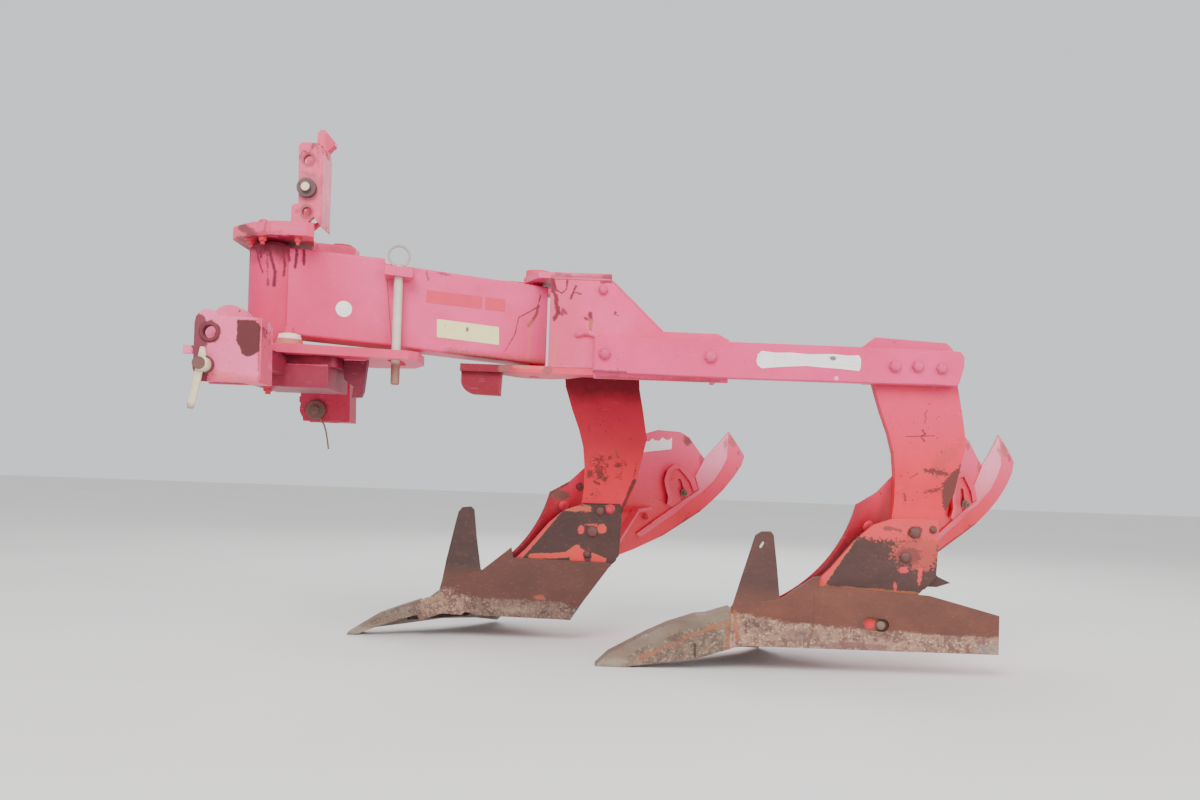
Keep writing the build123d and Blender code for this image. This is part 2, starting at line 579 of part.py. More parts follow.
def shell_arcs(dx, dy, t0, t1):
    """Plane, front arc and back arc of a shell between t0 and t1 behind the board's face."""
    rows = []
    for y, bx, bz, mx, mz, tx, tz in ARCS:
        pts = (bx + dx, bz), (mx + dx, mz), (tx + dx, tz)
        c, r = circle_of(*pts)
        rows.append((side(y + dy), [pushed(p, c, r, t0) for p in pts], [pushed(p, c, r, t1) for p in reversed(pts)]))
    return rows


for name, dx, dy, landside_pts, point_pts, fin_pts in BODIES:
    leg_y = dy
    with BuildPart() as leg:
        with BuildSketch(side(leg_y + LEG_T)):
            Polygon(*shifted(LEG, dx), align=None)
        extrude(amount=LEG_T)
        fillet(leg.edges().filter_by(Axis.Y), 5)
    leg.part.label = name + "_leg"
    export_step(leg.part, "parts/" + name + "_leg.step")

    low = 738 if name == "rear" else 785
    with BuildPart() as backing:
        with BuildSketch(side(leg_y + LEG_T + 14)):
            Polygon(*shifted([(728, low), (728, 846), (758, 871), (960, 861), (978, 845), (978, low)], dx), align=None)
        extrude(amount=14)
    backing.part.label = name + "_backing_plate"
    export_step(backing.part, "parts/" + name + "_backing_plate.step")

    with BuildPart() as landside:
        with BuildSketch(side(dy - FROG_T)):
            Polygon(*shifted(landside_pts, dx), align=None)
            if name == "rear":
                with Locations((773.5, 72)):
                    SlotOverall(70, 36, rotation=-8, mode=Mode.SUBTRACT)
        extrude(amount=LANDSIDE_T)
    landside.part.label = name + "_landside"
    export_step(landside.part, "parts/" + name + "_landside.step")

    with BuildPart() as fin:
        with BuildSketch(side(dy - FROG_T)):
            Polygon(*shifted(fin_pts, dx), align=None)
            if name == "rear":
                with Locations((fin_pts[4][0] + 2 + dx, fin_pts[4][1] - 37)):
                    SlotOverall(20, 9, rotation=60, mode=Mode.SUBTRACT)
        extrude(amount=LANDSIDE_T)
    fin.part.label = name + "_fin"
    export_step(fin.part, "parts/" + name + "_fin.step")

    with BuildPart() as point:
        with BuildSketch(side(dy + 42)):
            Polygon(*shifted(point_pts, dx), align=None)
        extrude(amount=42 + FROG_T + LANDSIDE_T)
    point.part.label = name + "_point"
    export_step(point.part, "parts/" + name + "_point.step")

    # share and, under it, the saddle of the frog
    ea, ra = radians(EDGE_ANG), radians(RISE)
    up = (sin(ea) * cos(ra), -cos(ea) * cos(ra), sin(ra))
    nrm = Vector(*up).cross(Vector(cos(ea), sin(ea), 0))
    share_plane = Plane(origin=(78 + dx - X_MID, dy - Y_MID, 0), x_dir=up, z_dir=(nrm.X, nrm.Y, nrm.Z))
    with BuildPart() as share:
        with BuildSketch(share_plane):
            Polygon(*(SHARE if name == "rear" else SHARE_WORN), align=None)
        extrude(amount=14)
        add(point.part, mode=Mode.SUBTRACT)
    share.part.label = name + "_share"
    export_step(share.part, "parts/" + name + "_share.step")

    with BuildPart() as frog:
        with BuildSketch(side(dy)):
            Polygon(*shifted(FROG, dx), align=None)
        extrude(amount=FROG_T)
        with BuildSketch(share_plane):
            Polygon(*(SADDLE if name == "rear" else SADDLE_WORN), align=None)
        extrude(amount=-14)
        # foot of the mouldboard stay
        with BuildSketch(side(dy + 40)):
            Polygon(*shifted(FOOT_REAR if name == "rear" else FOOT_FRONT, dx), align=None)
        extrude(amount=40)
        with BuildSketch(side(dy + 60)):
            Polygon(*shifted([(880, 214), (936, 214), (938, 262), (880, 262)], dx), align=None)
        extrude(amount=60)
        add(leg.part, mode=Mode.SUBTRACT)
        add(point.part, mode=Mode.SUBTRACT)
        add(share.part, mode=Mode.SUBTRACT)
    frog.part.label = name + "_frog"
    export_step(frog.part, "parts/" + name + "_frog.step")

    with BuildPart() as board:
        for where, front, back in shell_arcs(dx, dy, 0, 9):
            with BuildSketch(where):
                with BuildLine():
                    ThreePointArc(*front)
                    Line(front[2], back[0])
                    ThreePointArc(*back)
                    Line(back[2], front[0])
                make_face()
        loft()
        with BuildSketch(side(dy + 700)):
            Polygon(*shifted(BOARD_EDGE, dx), align=None)
        extrude(amount=760, mode=Mode.INTERSECT)
        add(share.part, mode=Mode.SUBTRACT)
        add(leg.part, mode=Mode.SUBTRACT)
        add(frog.part, mode=Mode.SUBTRACT)
    board.part.label = name + "_moldboard"
    export_step(board.part, "parts/" + name + "_moldboard.step")

    # stay from the frog's foot to the back of the board: a bent flat bar
    feet = [(925, 45, 240), (997, 250, 343), (1056, 352, 354)]
    with BuildPart() as stay:
        for p, q in zip(feet, feet[1:]):
            d = Vector(*q) - Vector(*p)
            mid = Vector(*p) + d * 0.5
            with BuildSketch(Plane(origin=(mid.X + dx - X_MID, mid.Y + dy - Y_MID, mid.Z + LIFT), x_dir=(d.Y, -d.X, 0), z_dir=(d.X, d.Y, d.Z))):
                Rectangle(24, 12)
            extrude(amount=d.length / 2 + 5, both=True)
        add(board.part, mode=Mode.SUBTRACT)
        add(frog.part, mode=Mode.SUBTRACT)
    stay.part = Part(stay.part.solids().sort_by(SortBy.VOLUME)[-1].wrapped)
    stay.part.label = name + "_stay"
    export_step(stay.part, "parts/" + name + "_stay.step")

    for kind, edge, t0, t1 in SHELLS:
        with BuildPart() as shell:
            for where, front, back in shell_arcs(dx, dy, t0, t1):
                with BuildSketch(where):
                    with BuildLine():
                        ThreePointArc(*front)
                        Line(front[2], back[0])
                        ThreePointArc(*back)
                        Line(back[2], front[0])
                    make_face()
            loft()
            with BuildSketch(side(dy + 700)):
                Polygon(*shifted(edge, dx), align=None)
                if kind == "bracket":
                    with Locations((1164 + dx, 418)):
                        SlotOverall(82, 17, rotation=-70, mode=Mode.SUBTRACT)
            extrude(amount=760, mode=Mode.INTERSECT)
            add(stay.part, mode=Mode.SUBTRACT)
        shell.part.label = name + "_" + kind
        export_step(shell.part, "parts/" + name + "_" + kind + ".step")
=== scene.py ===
import math
import random

import bmesh
import bpy
from mathutils import Matrix, Vector, noise
from mathutils.bvhtree import BVHTree


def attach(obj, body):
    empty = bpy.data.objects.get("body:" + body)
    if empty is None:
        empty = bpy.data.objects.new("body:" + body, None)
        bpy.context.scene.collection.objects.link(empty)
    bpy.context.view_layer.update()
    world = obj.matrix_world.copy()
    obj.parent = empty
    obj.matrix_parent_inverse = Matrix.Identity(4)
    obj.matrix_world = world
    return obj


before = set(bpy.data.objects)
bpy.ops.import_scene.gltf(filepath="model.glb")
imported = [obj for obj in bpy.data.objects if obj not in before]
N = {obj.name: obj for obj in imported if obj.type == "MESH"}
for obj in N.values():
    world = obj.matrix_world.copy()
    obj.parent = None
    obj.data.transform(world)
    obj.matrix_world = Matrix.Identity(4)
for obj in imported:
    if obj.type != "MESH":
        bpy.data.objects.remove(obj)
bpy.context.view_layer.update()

# Working coordinates of part.py to the row frame, in metres.
X_MID, Y_MID, LIFT = 207.0, 225.98, 70.0
OFFSET = {"rear": (0.0, 0.0), "front": (-870.0, 375.0)}
P1 = (-905.0, -50.0)
BEAM_A = math.atan2(152.0, 705.0)
CA, SA = math.cos(BEAM_A), math.sin(BEAM_A)


def W(x, y, z):
    return Vector(((x - X_MID) / 1000, (y - Y_MID) / 1000, (z + LIFT) / 1000))


def B(body, x, y, z):
    dx, dy = OFFSET[body]
    return W(x + dx, y + dy, z)


def BM(s, off, z):
    """Along the main beam, off to the landside of its axis."""
    return W(P1[0] + s * CA + off * SA, P1[1] + s * SA - off * CA, z)


# --------------------------------------------------------------------- camera
cam_data = bpy.data.cameras.new("camera")
cam_data.sensor_width = 36.0
cam_data.lens = 28.8
cam_data.shift_y = 81 / 1200
cam_data.clip_end = 100
cam = bpy.data.objects.new("camera", cam_data)
cam.matrix_world = Matrix.Translation(W(0, -2668, 440)) @ Matrix.Rotation(math.pi / 2, 4, "X") @ Matrix.Rotation(0.035, 4, "Z")
bpy.context.collection.objects.link(cam)
bpy.context.scene.camera = cam


# ------------------------------------------------------------------ materials
def lin(c):
    """sRGB 0-255 to linear."""
    out = []
    for v in c:
        v = v / 255
        out.append(v / 12.92 if v <= 0.04045 else ((v + 0.055) / 1.055) ** 2.4)
    return (*out, 1.0)


class Mat:
    """Small helper for node trees on one Principled shader."""

    def __init__(self, name):
        self.m = bpy.data.materials.new(name)
        self.m.use_nodes = True
        self.t = self.m.node_tree
        self.b = self.t.nodes["Principled BSDF"]
        self.tex = self.t.nodes.new("ShaderNodeTexCoord")
        self.pos = self.tex.outputs["Object"]
        self.seen = {}

    def new(self, kind, **kw):
        n = self.t.nodes.new(kind)
        for k, v in kw.items():
            setattr(n, k, v)
        return n

    def link(self, a, b):
        self.t.links.new(a, b)

    def put(self, sock, v):
        if isinstance(v, (int, float)):
            sock.default_value = v
        elif isinstance(v, (tuple, list, Vector)):
            sock.default_value = tuple(v)
        else:
            self.link(v, sock)

    def noise(self, scale, detail=6.0, rough=0.6, vec=None, stretch=None):
        v = vec or self.pos
        if stretch:
            mp = self.new("ShaderNodeMapping")
            mp.inputs["Scale"].default_value = stretch
            self.link(v, mp.inputs["Vector"])
            v = mp.outputs["Vector"]
        n = self.new("ShaderNodeTexNoise")
        n.inputs["Scale"].default_value = scale
        n.inputs["Detail"].default_value = detail
        n.inputs["Roughness"].default_value = rough
        self.link(v, n.inputs["Vector"])
        return n.outputs["Fac"]

    def step(self, fac, a, b):
        n = self.new("ShaderNodeMapRange", clamp=True)
        n.inputs["From Min"].default_value = a
        n.inputs["From Max"].default_value = b
        self.put(n.inputs["Value"], fac)
        return n.outputs["Result"]

    def math(self, op, a, b=None, clamp=False):
        n = self.new("ShaderNodeMath", operation=op, use_clamp=clamp)
        for i, v in enumerate((a, b)):
            if v is not None:
                self.put(n.inputs[i], v)
        return n.outputs[0]

    def vec(self, op, a, b=None, scale=None, out="Vector"):
        n = self.new("ShaderNodeVectorMath", operation=op)
        self.put(n.inputs[0], a)
        if b is not None:
            self.put(n.inputs[1], b)
        if scale is not None:
            self.put(n.inputs["Scale"], scale)
        return n.outputs[out]

    def mix(self, fac, a, b):
        n = self.new("ShaderNodeMix", data_type="RGBA")
        self.put(n.inputs[0], fac)
        self.put(n.inputs[6], a)
        self.put(n.inputs[7], b)
        return n.outputs[2]

    def sep(self):
        n = self.new("ShaderNodeSeparateXYZ")
        self.link(self.pos, n.inputs[0])
        return n.outputs

    def kept(self, scale, detail, rough):
        key = (scale, detail, rough)
        if key not in self.seen:
            self.seen[key] = self.noise(scale, detail, rough)
        return self.seen[key]

    def mottle(self, colours):
        """Crumbly mixture of three colours."""
        a = self.kept(38, 7, 0.72)
        b = self.kept(115, 5, 0.7)
        c = self.mix(self.step(a, 0.47, 0.56), lin(colours[0]), lin(colours[1]))
        return self.mix(self.step(b, 0.53, 0.61), c, lin(colours[2]))

    # signed fields in metres, positive inside
    def blob(self, c, r):
        d = self.vec("DIVIDE", self.vec("SUBTRACT", self.pos, c), r)
        length = self.vec("LENGTH", d, out="Value")
        return self.math("MULTIPLY", self.math("SUBTRACT", 1.0, length), min(r))

    def seg(self, a, b, r):
        ab = Vector(b) - Vector(a)
        d0 = self.vec("SUBTRACT", self.pos, a)
        t = self.math("DIVIDE", self.vec("DOT_PRODUCT", d0, ab, out="Value"), ab.length_squared, clamp=True)
        near = self.vec("SCALE", ab, scale=t)
        d = self.vec("LENGTH", self.vec("SUBTRACT", d0, near), out="Value")
        return self.math("SUBTRACT", r, d)

    def poly(self, pts):
        """Convex outline in X and Z; pts are row-frame vectors, either way round."""
        area2 = sum(p.x * q.z - q.x * p.z for p, q in zip(pts, pts[1:] + pts[:1]))
        if area2 < 0:
            pts = pts[::-1]
        out = None
        for p, q in zip(pts, pts[1:] + pts[:1]):
            d = Vector((q.x - p.x, 0, q.z - p.z)).normalized()
            inward = Vector((-d.z, 0, d.x))
            f = self.vec("DOT_PRODUCT", self.vec("SUBTRACT", self.pos, p), inward, out="Value")
            out = f if out is None else self.math("MINIMUM", out, f)
        return out

    def side_of(self, p, n):
        """Positive on the side of the plane through p that n points to."""
        return self.vec("DOT_PRODUCT", self.vec("SUBTRACT", self.pos, p), Vector(n).normalized(), out="Value")


RUST = (112, 66, 46)
RUST_DARK = (84, 52, 46)
PAINT_RUST = (106, 56, 52)
OIL = (92, 30, 44)
ORANGE = (176, 98, 54)
CREAM = (222, 212, 190)


def field(m, kind, args):
    if kind == "blob":
        return m.blob(*args)
    if kind == "seg":
        return m.seg(*args)
    if kind == "poly":
        return m.poly(args)
    if kind == "side":
        return m.side_of(*args)
    if kind == "path":
        pts, r = args
        out = None
        for a, b in zip(pts, pts[1:]):
            f = m.seg(a, b, r)
            out = f if out is None else m.math("MAXIMUM", out, f)
        return out
    raise ValueError(kind)


def lay(m, col, layers, wob_fine, wob_mid):
    """Paints layers over col. A layer is kind, args, colour or three colours, strength, wobble or
    (wobble, speckle), softness[, rim colour, rim width]."""
    total = None
    speck = m.kept(185, 3, 0.6)
    for L in layers:
        kind, args, colour, k, wob, soft = L[:6]
        wob, spk = wob if isinstance(wob, tuple) else (wob, 0.0)
        f = field(m, kind, args)
        w = m.math("ADD", m.math("MULTIPLY", m.math("SUBTRACT", wob_mid, 0.5), wob * 2.2), m.math("MULTIPLY", m.math("SUBTRACT", wob_fine, 0.5), wob))
        if spk:
            w = m.math("ADD", w, m.math("MULTIPLY", m.math("SUBTRACT", speck, 0.5), spk * 3))
        f = m.math("ADD", f, w)
        if len(L) > 6:
            rim = m.math("MULTIPLY", m.step(f, -L[7] - soft, -L[7] + soft), k)
            col = m.mix(rim, col, lin(L[6]))
        mask = m.math("MULTIPLY", m.step(f, -soft, soft), k)
        paint = m.mottle(colour) if isinstance(colour[0], tuple) else lin(colour)
        col = m.mix(mask, col, paint)
        total = mask if total is None else m.math("MAXIMUM", total, mask)
    return col, total


def edges(m, radius=0.0025):
    """Rounded edge normal and a mask of the edges, which the callers paint paler."""
    bev = m.new("ShaderNodeBevel", samples=4)
    bev.inputs["Radius"].default_value = radius
    geo = m.new("ShaderNodeNewGeometry")
    dot = m.vec("DOT_PRODUCT", bev.outputs["Normal"], geo.outputs["Normal"], out="Value")
    return bev.outputs["Normal"], m.math("SUBTRACT", 1.0, dot)


def rich(c):
    """Stronger, cooler paint colour."""
    return (c[0], max(18, c[1] * 0.78 - 4), max(20, c[2] * 0.94 - 4))


def painted(name, base, faded, deep, grad=(), fleck=0.0, layers=(), rough=0.45, dirt=0.18, edge_wear_and_highlight=0.3, pale=(236, 150, 168), scale=1.0):
    """Weathered paint: broad fading, cloudy patches, scratches, worn edges with a painted edge highlight, rust pits,
    local rust.
    """
    m = Mat(name)
    broad = m.noise(2.6 * scale, 3.0, 0.5)
    mid = m.noise(13.0 * scale, 5.0, 0.6)
    fine = m.noise(60.0 * scale, 7.0, 0.7)
    col = m.mix(m.step(broad, 0.38, 0.64), lin(rich(base)), lin(rich(faded)))
    col = m.mix(m.math("MULTIPLY", m.step(mid, 0.46, 0.72), 0.4), col, lin(rich(deep)))
    xyz = m.sep()
    for axis, v0, v1, colour, k in grad:
        v = m.math("ADD", xyz["XYZ".index(axis)], m.math("MULTIPLY", m.math("SUBTRACT", mid, 0.5), 0.07))
        col = m.mix(m.math("MULTIPLY", m.step(v, v0, v1), k), col, lin(rich(colour)))
    scr = m.noise(150.0 * scale, 2.0, 0.4, stretch=(0.25, 1.0, 1.6))
    col = m.mix(m.math("MULTIPLY", m.step(scr, 0.69, 0.73), 0.14), col, lin(pale))
    col = m.mix(m.math("MULTIPLY", m.step(fine, 0.5, 0.8), dirt), col, lin((150, 104, 96)))
    nrm, edge = edges(m)
    # Paler edges: partly worn paint, partly a painted highlight along the edges.
    worn = m.step(m.math("ADD", edge, m.math("MULTIPLY", m.math("SUBTRACT", fine, 0.5), 0.3)), 0.05, 0.4)
    col = m.mix(m.math("MULTIPLY", worn, edge_wear_and_highlight), col, lin(pale))
    rust = None
    if fleck:
        pits = m.noise(75.0 * scale, 3.0, 0.55)
        spots = m.math("MULTIPLY", m.step(pits, 0.70 - 0.12 * fleck, 0.72 - 0.12 * fleck), m.step(mid, 0.42, 0.55))
        col = m.mix(m.math("MULTIPLY", spots, 0.85), col, lin(PAINT_RUST))
        rust = spots
    if layers:
        col, total = lay(m, col, layers, fine, mid)
        rust = total if rust is None else m.math("MAXIMUM", rust, total)
    m.link(col, m.b.inputs["Base Color"])
    r = m.math("ADD", m.math("MULTIPLY", fine, 0.2), rough - 0.1)
    h = m.math("MULTIPLY", fine, 0.35)
    h = m.math("ADD", h, m.math("MULTIPLY", mid, 0.6))
    if rust is not None:
        r = m.math("ADD", r, m.math("MULTIPLY", rust, 0.28))
        h = m.math("SUBTRACT", h, m.math("MULTIPLY", rust, 0.5))
    m.link(r, m.b.inputs["Roughness"])
    bump = m.new("ShaderNodeBump")
    bump.inputs["Strength"].default_value = 0.3
    bump.inputs["Distance"].default_value = 0.0012
    m.link(h, bump.inputs["Height"])
    m.link(nrm, bump.inputs["Normal"])
    m.link(bump.outputs["Normal"], m.b.inputs["Normal"])
    m.b.inputs["Specular IOR Level"].default_value = 0.25
    return m.m


def steel(name, base, dark, film=(124, 78, 58), film_amt=0.5, rough=0.5, metal=0.25, layers=(), grad=(), scale=1.0, bump_k=0.4, until_y=None):
    """Soil-worn steel: brown film, streaks along the travel direction, pits."""
    m = Mat(name)
    broad = m.noise(5.0 * scale, 5.0, 0.6, stretch=(1, 1, 2.2))
    mid = m.noise(22.0 * scale, 6.0, 0.65, stretch=(0.7, 1, 1.3))
    fine = m.noise(110.0 * scale, 7.0, 0.72, stretch=(0.6, 1, 1.3))
    col = m.mix(m.step(broad, 0.36, 0.66), lin(base), lin(dark))
    col = m.mix(m.math("MULTIPLY", m.step(mid, 0.5, 0.7), film_amt), col, lin(film))
    xyz = m.sep()
    for axis, v0, v1, colour, k in grad:
        v = m.math("ADD", xyz["XYZ".index(axis)], m.math("MULTIPLY", m.math("SUBTRACT", mid, 0.5), 0.05))
        col = m.mix(m.math("MULTIPLY", m.step(v, v0, v1), k), col, lin(colour))
    if layers:
        under = col
        col, _ = lay(m, col, layers, fine, mid)
        if until_y is not None:
            col = m.mix(m.step(xyz["XYZ".index("Y")], until_y, until_y + 0.001), col, under)
    pits = m.step(fine, 0.6, 0.72)
    col = m.mix(m.math("MULTIPLY", pits, 0.35), col, lin(RUST_DARK))
    light = m.step(fine, 0.42, 0.3)
    col = m.mix(m.math("MULTIPLY", light, 0.12), col, lin((190, 164, 142)))
    nrm, edge = edges(m, 0.003)
    worn = m.step(m.math("ADD", edge, m.math("MULTIPLY", m.math("SUBTRACT", fine, 0.5), 0.3)), 0.05, 0.4)
    col = m.mix(m.math("MULTIPLY", worn, 0.22), col, lin((176, 150, 130)))
    m.link(col, m.b.inputs["Base Color"])
    m.b.inputs["Metallic"].default_value = metal
    m.link(m.math("ADD", m.math("MULTIPLY", fine, 0.3), rough - 0.12), m.b.inputs["Roughness"])
    bump = m.new("ShaderNodeBump")
    bump.inputs["Strength"].default_value = bump_k
    bump.inputs["Distance"].default_value = 0.0016
    m.link(m.math("ADD", m.math("MULTIPLY", fine, 0.5), mid), bump.inputs["Height"])
    m.link(nrm, bump.inputs["Normal"])
    m.link(bump.outputs["Normal"], m.b.inputs["Normal"])
    return m.m


def R(*v):
    return tuple(a / 1000 for a in v)


PINK = dict(base=(222, 80, 120), faded=(232, 106, 142), deep=(212, 64, 100))
BAR = dict(base=(226, 82, 124), faded=(232, 102, 142), deep=(216, 70, 108))
RED = dict(base=(204, 58, 68), faded=(212, 72, 82), deep=(186, 44, 54))

# dark drips under the flange, in beam coordinates (along, off, height)
DRIPS = [
    ("path", ([BM(58, 55, 1052), BM(60, 56, 1018), BM(57, 56, 985)], 0.0038), OIL, 0.9, (0.004, 0.002), 0.0015),
    ("seg", (BM(78, 55, 1052), BM(79, 56, 994), 0.0034), OIL, 0.88, (0.004, 0.002), 0.0015),
    ("seg", (BM(37, 55, 1046), BM(40, 56, 1000), 0.0045), OIL, 0.8, (0.006, 0.003), 0.002),
]
RUSTY = (134, 58, 54)
# Crack and rust marks on the beam; the last one, a broad brown band along the bottom edge, is painted shade of the
# rounded lower corner.
BEAM_CRACKS_RUST_AND_SHADE = [
    ("path", ([BM(724, 51, 960), BM(716, 51, 925), BM(664, 51, 893), BM(655, 51, 845), BM(628, 51, 795)], 0.0018), (132, 46, 58), 0.9, (0.004, 0.001), 0.001),
    ("path", ([BM(719, 51, 930), BM(714, 51, 906), BM(694, 51, 872)], 0.0042), RUSTY, 0.9, (0.004, 0.002), 0.0014),
    ("seg", (BM(698, 51, 890), BM(694, 51, 780), 0.003), (206, 108, 86), 0.45, (0.012, 0.008), 0.003),
    ("seg", (BM(404, 51, 1003), BM(410, 51, 978), 0.0028), RUSTY, 0.8, (0.005, 0.003), 0.0014),
    ("seg", (BM(430, 51, 1002), BM(470, 51, 996), 0.0030), RUSTY, 0.75, (0.006, 0.005), 0.0014),
    ("seg", (BM(470, 51, 783), BM(735, 51, 764), 0.009), (146, 76, 64), 0.7, (0.014, 0.010), 0.006),
]
STAIN = (112, 34, 46)
NEAR_RUST = [
    ("path", ([W(-150, 0, 994), W(-149, 0, 962), W(-140, 0, 950), W(-138, 0, 925), W(-132, 0, 905), W(-143, 0, 884)], 0.0055), STAIN, 0.9, (0.007, 0.003), 0.002),
    ("path", ([W(-134, 0, 905), W(-122, 0, 898), W(-120, 0, 912), W(-112, 0, 902)], 0.004), STAIN, 0.75, (0.006, 0.003), 0.002),
    ("path", ([W(-86, 0, 978), W(-92, 0, 962), W(-98, 0, 944)], 0.0035), STAIN, 0.85, (0.006, 0.003), 0.0015),
    ("seg", (W(-92, 0, 962), W(-72, 0, 958), 0.0025), STAIN, 0.8, (0.006, 0.003), 0.0015),
    ("path", ([W(-146, 0, 988), W(-140, 0, 966), W(-124, 0, 958), W(-112, 0, 968), W(-110, 0, 994)], 0.0028), STAIN, 0.85, (0.004, 0.002), 0.0012),
    ("path", ([W(-44, 0, 905), W(-40, 0, 885), W(-42, 0, 856)], 0.0042), STAIN, 0.85, (0.006, 0.003), 0.0015),
    ("seg", (W(-58, 0, 892), W(-44, 0, 884), 0.002), STAIN, 0.8, (0.005, 0.002), 0.0012),
    ("blob", (W(-42, 0, 872), R(10, 20, 14)), (214, 120, 100), 0.5, (0.008, 0.004), 0.002),
    ("seg", (W(-14, 0, 992), W(10, 0, 994), 0.006), STAIN, 0.75, (0.008, 0.004), 0.002),
    ("seg", (W(70, 0, 955), W(96, 0, 928), 0.0025), STAIN, 0.7, (0.006, 0.004), 0.0015),
    ("seg", (W(20, 0, 905), W(34, 0, 902), 0.0015), STAIN, 0.7, (0.003, 0.002), 0.001),
    ("seg", (W(-140, 0, 765), W(-132, 0, 830), 0.003), (206, 112, 92), 0.5, (0.010, 0.006), 0.003),
    ("seg", (W(-26, 0, 728), W(320, 0, 727), 0.005), (170, 84, 66), 0.6, (0.008, 0.005), 0.002),
]
MAST_RUST = [("blob", (W(-797, -137, z), R(21, 12, 21)), (150, 74, 82), 0.8, 0.004, 0.0016) for z in (1260, 1122)] + [
    ("blob", (W(-797, -137, 1183), R(34, 12, 36)), (168, 100, 108), 0.6, 0.010, 0.005),
    ("blob", (W(-822, -137, 1122), R(7, 12, 7)), (150, 84, 90), 0.7, 0.004, 0.002),
    ("seg", (W(-800, -137, 1094), W(-815, -137, 1092), 0.004), (150, 74, 82), 0.6, 0.004, 0.002),
    ("seg", (W(-742, -137, 1230), W(-742, -137, 1120), 0.006), (168, 84, 104), 0.5, 0.012, 0.004),
    ("path", ([W(-822, -137, 1262), W(-812, -137, 1284), W(-796, -137, 1272), W(-786, -137, 1300)], 0.0035), (136, 56, 70), 0.8, (0.008, 0.004), 0.002),
    ("seg", (W(-776, -137, 1306), W(-770, -137, 1240), 0.003), (150, 72, 84), 0.7, (0.010, 0.005), 0.003),
    ("seg", (W(-812, -137, 1225), W(-780, -137, 1218), 0.004), (160, 84, 90), 0.6, (0.010, 0.005), 0.003),
]
BRK = -523
BRACKET_RUST = [
    ("poly", [W(-822, BRK, 772), W(-783, BRK, 769), W(-770, BRK, 757), W(-773, BRK, 704), W(-796, BRK, 687), W(-812, BRK, 697), W(-823, BRK, 728)], (96, 44, 48), 1.0, (0.008, 0.002), 0.0012),
    ("blob", (W(-884, BRK, 743), R(24, 20, 24)), (102, 48, 52), 0.95, (0.006, 0.002), 0.0014),
    ("path", ([W(-910, BRK, 764), W(-908, BRK, 715), W(-904, BRK, 668), W(-902, BRK, 640)], 0.017), (106, 48, 56), 0.92, (0.014, 0.005), 0.002),
    ("seg", (W(-872, BRK, 648), W(-826, BRK, 652), 0.004), (204, 104, 74), 0.6, (0.010, 0.008), 0.003),
]
CONE = [
    ("blob", (W(-832, -134, 776), R(60, 60, 8)), (190, 112, 96), 0.8, (0.003, 0.001), 0.002),
    ("blob", (W(-832, -134, 791), R(46, 46, 8)), (240, 216, 206), 0.92, (0.002, 0.001), 0.0012),
    ("seg", (W(-760, -120, 771), W(-520, -78, 771), 0.005), (150, 62, 80), 0.5, 0.008, 0.003),
    ("seg", (BM(329 - 8, 78, 771), BM(329 + 8, 78, 771), 0.022), (206, 130, 120), 0.5, 0.008, 0.004),
]


LEG_RUST = (104, 54, 50)


def leg_layers(body):
    if body == "rear":
        return [
            ("seg", (B("rear", 996, 0, 580), B("rear", 930, 0, 500), 0.014), (170, 70, 64), 0.4, (0.04, 0.026), 0.003),
            ("poly", [B("rear", 1004, 0, 526), B("rear", 952, 0, 466), B("rear", 957, 0, 400), B("rear", 972, 0, 376), B("rear", 992, 0, 440)], LEG_RUST, 1.0, (0.010, 0.006), 0.0014),
            ("seg", (B("rear", 902, 0, 502), B("rear", 962, 0, 494), 0.005), LEG_RUST, 0.95, (0.012, 0.012), 0.0015),
            ("seg", (B("rear", 902, 0, 440), B("rear", 950, 0, 452), 0.001), LEG_RUST, 0.9, (0.012, 0.012), 0.0015),
            ("path", ([B("rear", 891, 0, 612), B("rear", 900, 0, 603), B("rear", 888, 0, 594), B("rear", 896, 0, 582)], 0.0022), (120, 40, 48), 0.9, (0.004, 0.003), 0.0012),
            ("seg", (B("rear", 846, 0, 593), B("rear", 924, 0, 598), 0.0012), (130, 48, 56), 0.9, 0.003, 0.001),
            ("path", ([B("rear", 902, 0, 668), B("rear", 895, 0, 655), B("rear", 900, 0, 648), B("rear", 896, 0, 632)], 0.0016), (124, 44, 54), 0.85, 0.003, 0.001),
            ("seg", (B("rear", 862, 0, 478), B("rear", 882, 0, 492), 0.0014), LEG_RUST, 0.8, (0.006, 0.004), 0.001),
            ("seg", (B("rear", 846, 0, 432), B("rear", 850, 0, 416), 0.003), LEG_RUST, 0.8, (0.004, 0.003), 0.001),
        ]
    return [
        ("path", ([B("front", 921, 0, 300), B("front", 950, 0, 372), B("front", 978, 0, 445)], 0.006), (92, 46, 42), 0.95, (0.006, 0.003), 0.0015),
        ("path", ([B("front", 974, 0, 440), B("front", 984, 0, 500)], 0.002), (92, 46, 42), 0.9, (0.006, 0.004), 0.0015),
        ("blob", (B("front", 925, 0, 492), R(12, 20, 8)), LEG_RUST, 0.9, (0.012, 0.006), 0.0015),
        ("blob", (B("front", 838, 0, 462), R(10, 20, 12)), LEG_RUST, 0.85, (0.014, 0.008), 0.0015),
        ("seg", (B("front", 850, 0, 438), B("front", 870, 0, 428), 0.003), LEG_RUST, 0.85, (0.006, 0.006), 0.001),
        ("blob", (B("front", 845, 0, 400), R(5, 20, 6)), LEG_RUST, 0.8, (0.008, 0.006), 0.001),
        ("seg", (B("front", 915, 0, 545), B("front", 918, 0, 520), 0.005), (150, 84, 62), 0.6, (0.012, 0.006), 0.002),
        ("blob", (B("front", 872, 0, 470), R(14, 20, 26)), LEG_RUST, 0.85, (0.055, 0.030), 0.0015),
        ("seg", (B("front", 856, 0, 400), B("front", 900, 0, 520), 0.001), LEG_RUST, 0.85, (0.040, 0.026), 0.0012),
        ("seg", (B("front", 930, 0, 440), B("front", 944, 0, 500), 0.001), LEG_RUST, 0.8, (0.030, 0.022), 0.0012),
    ]


FROG_RED = (220, 44, 50)


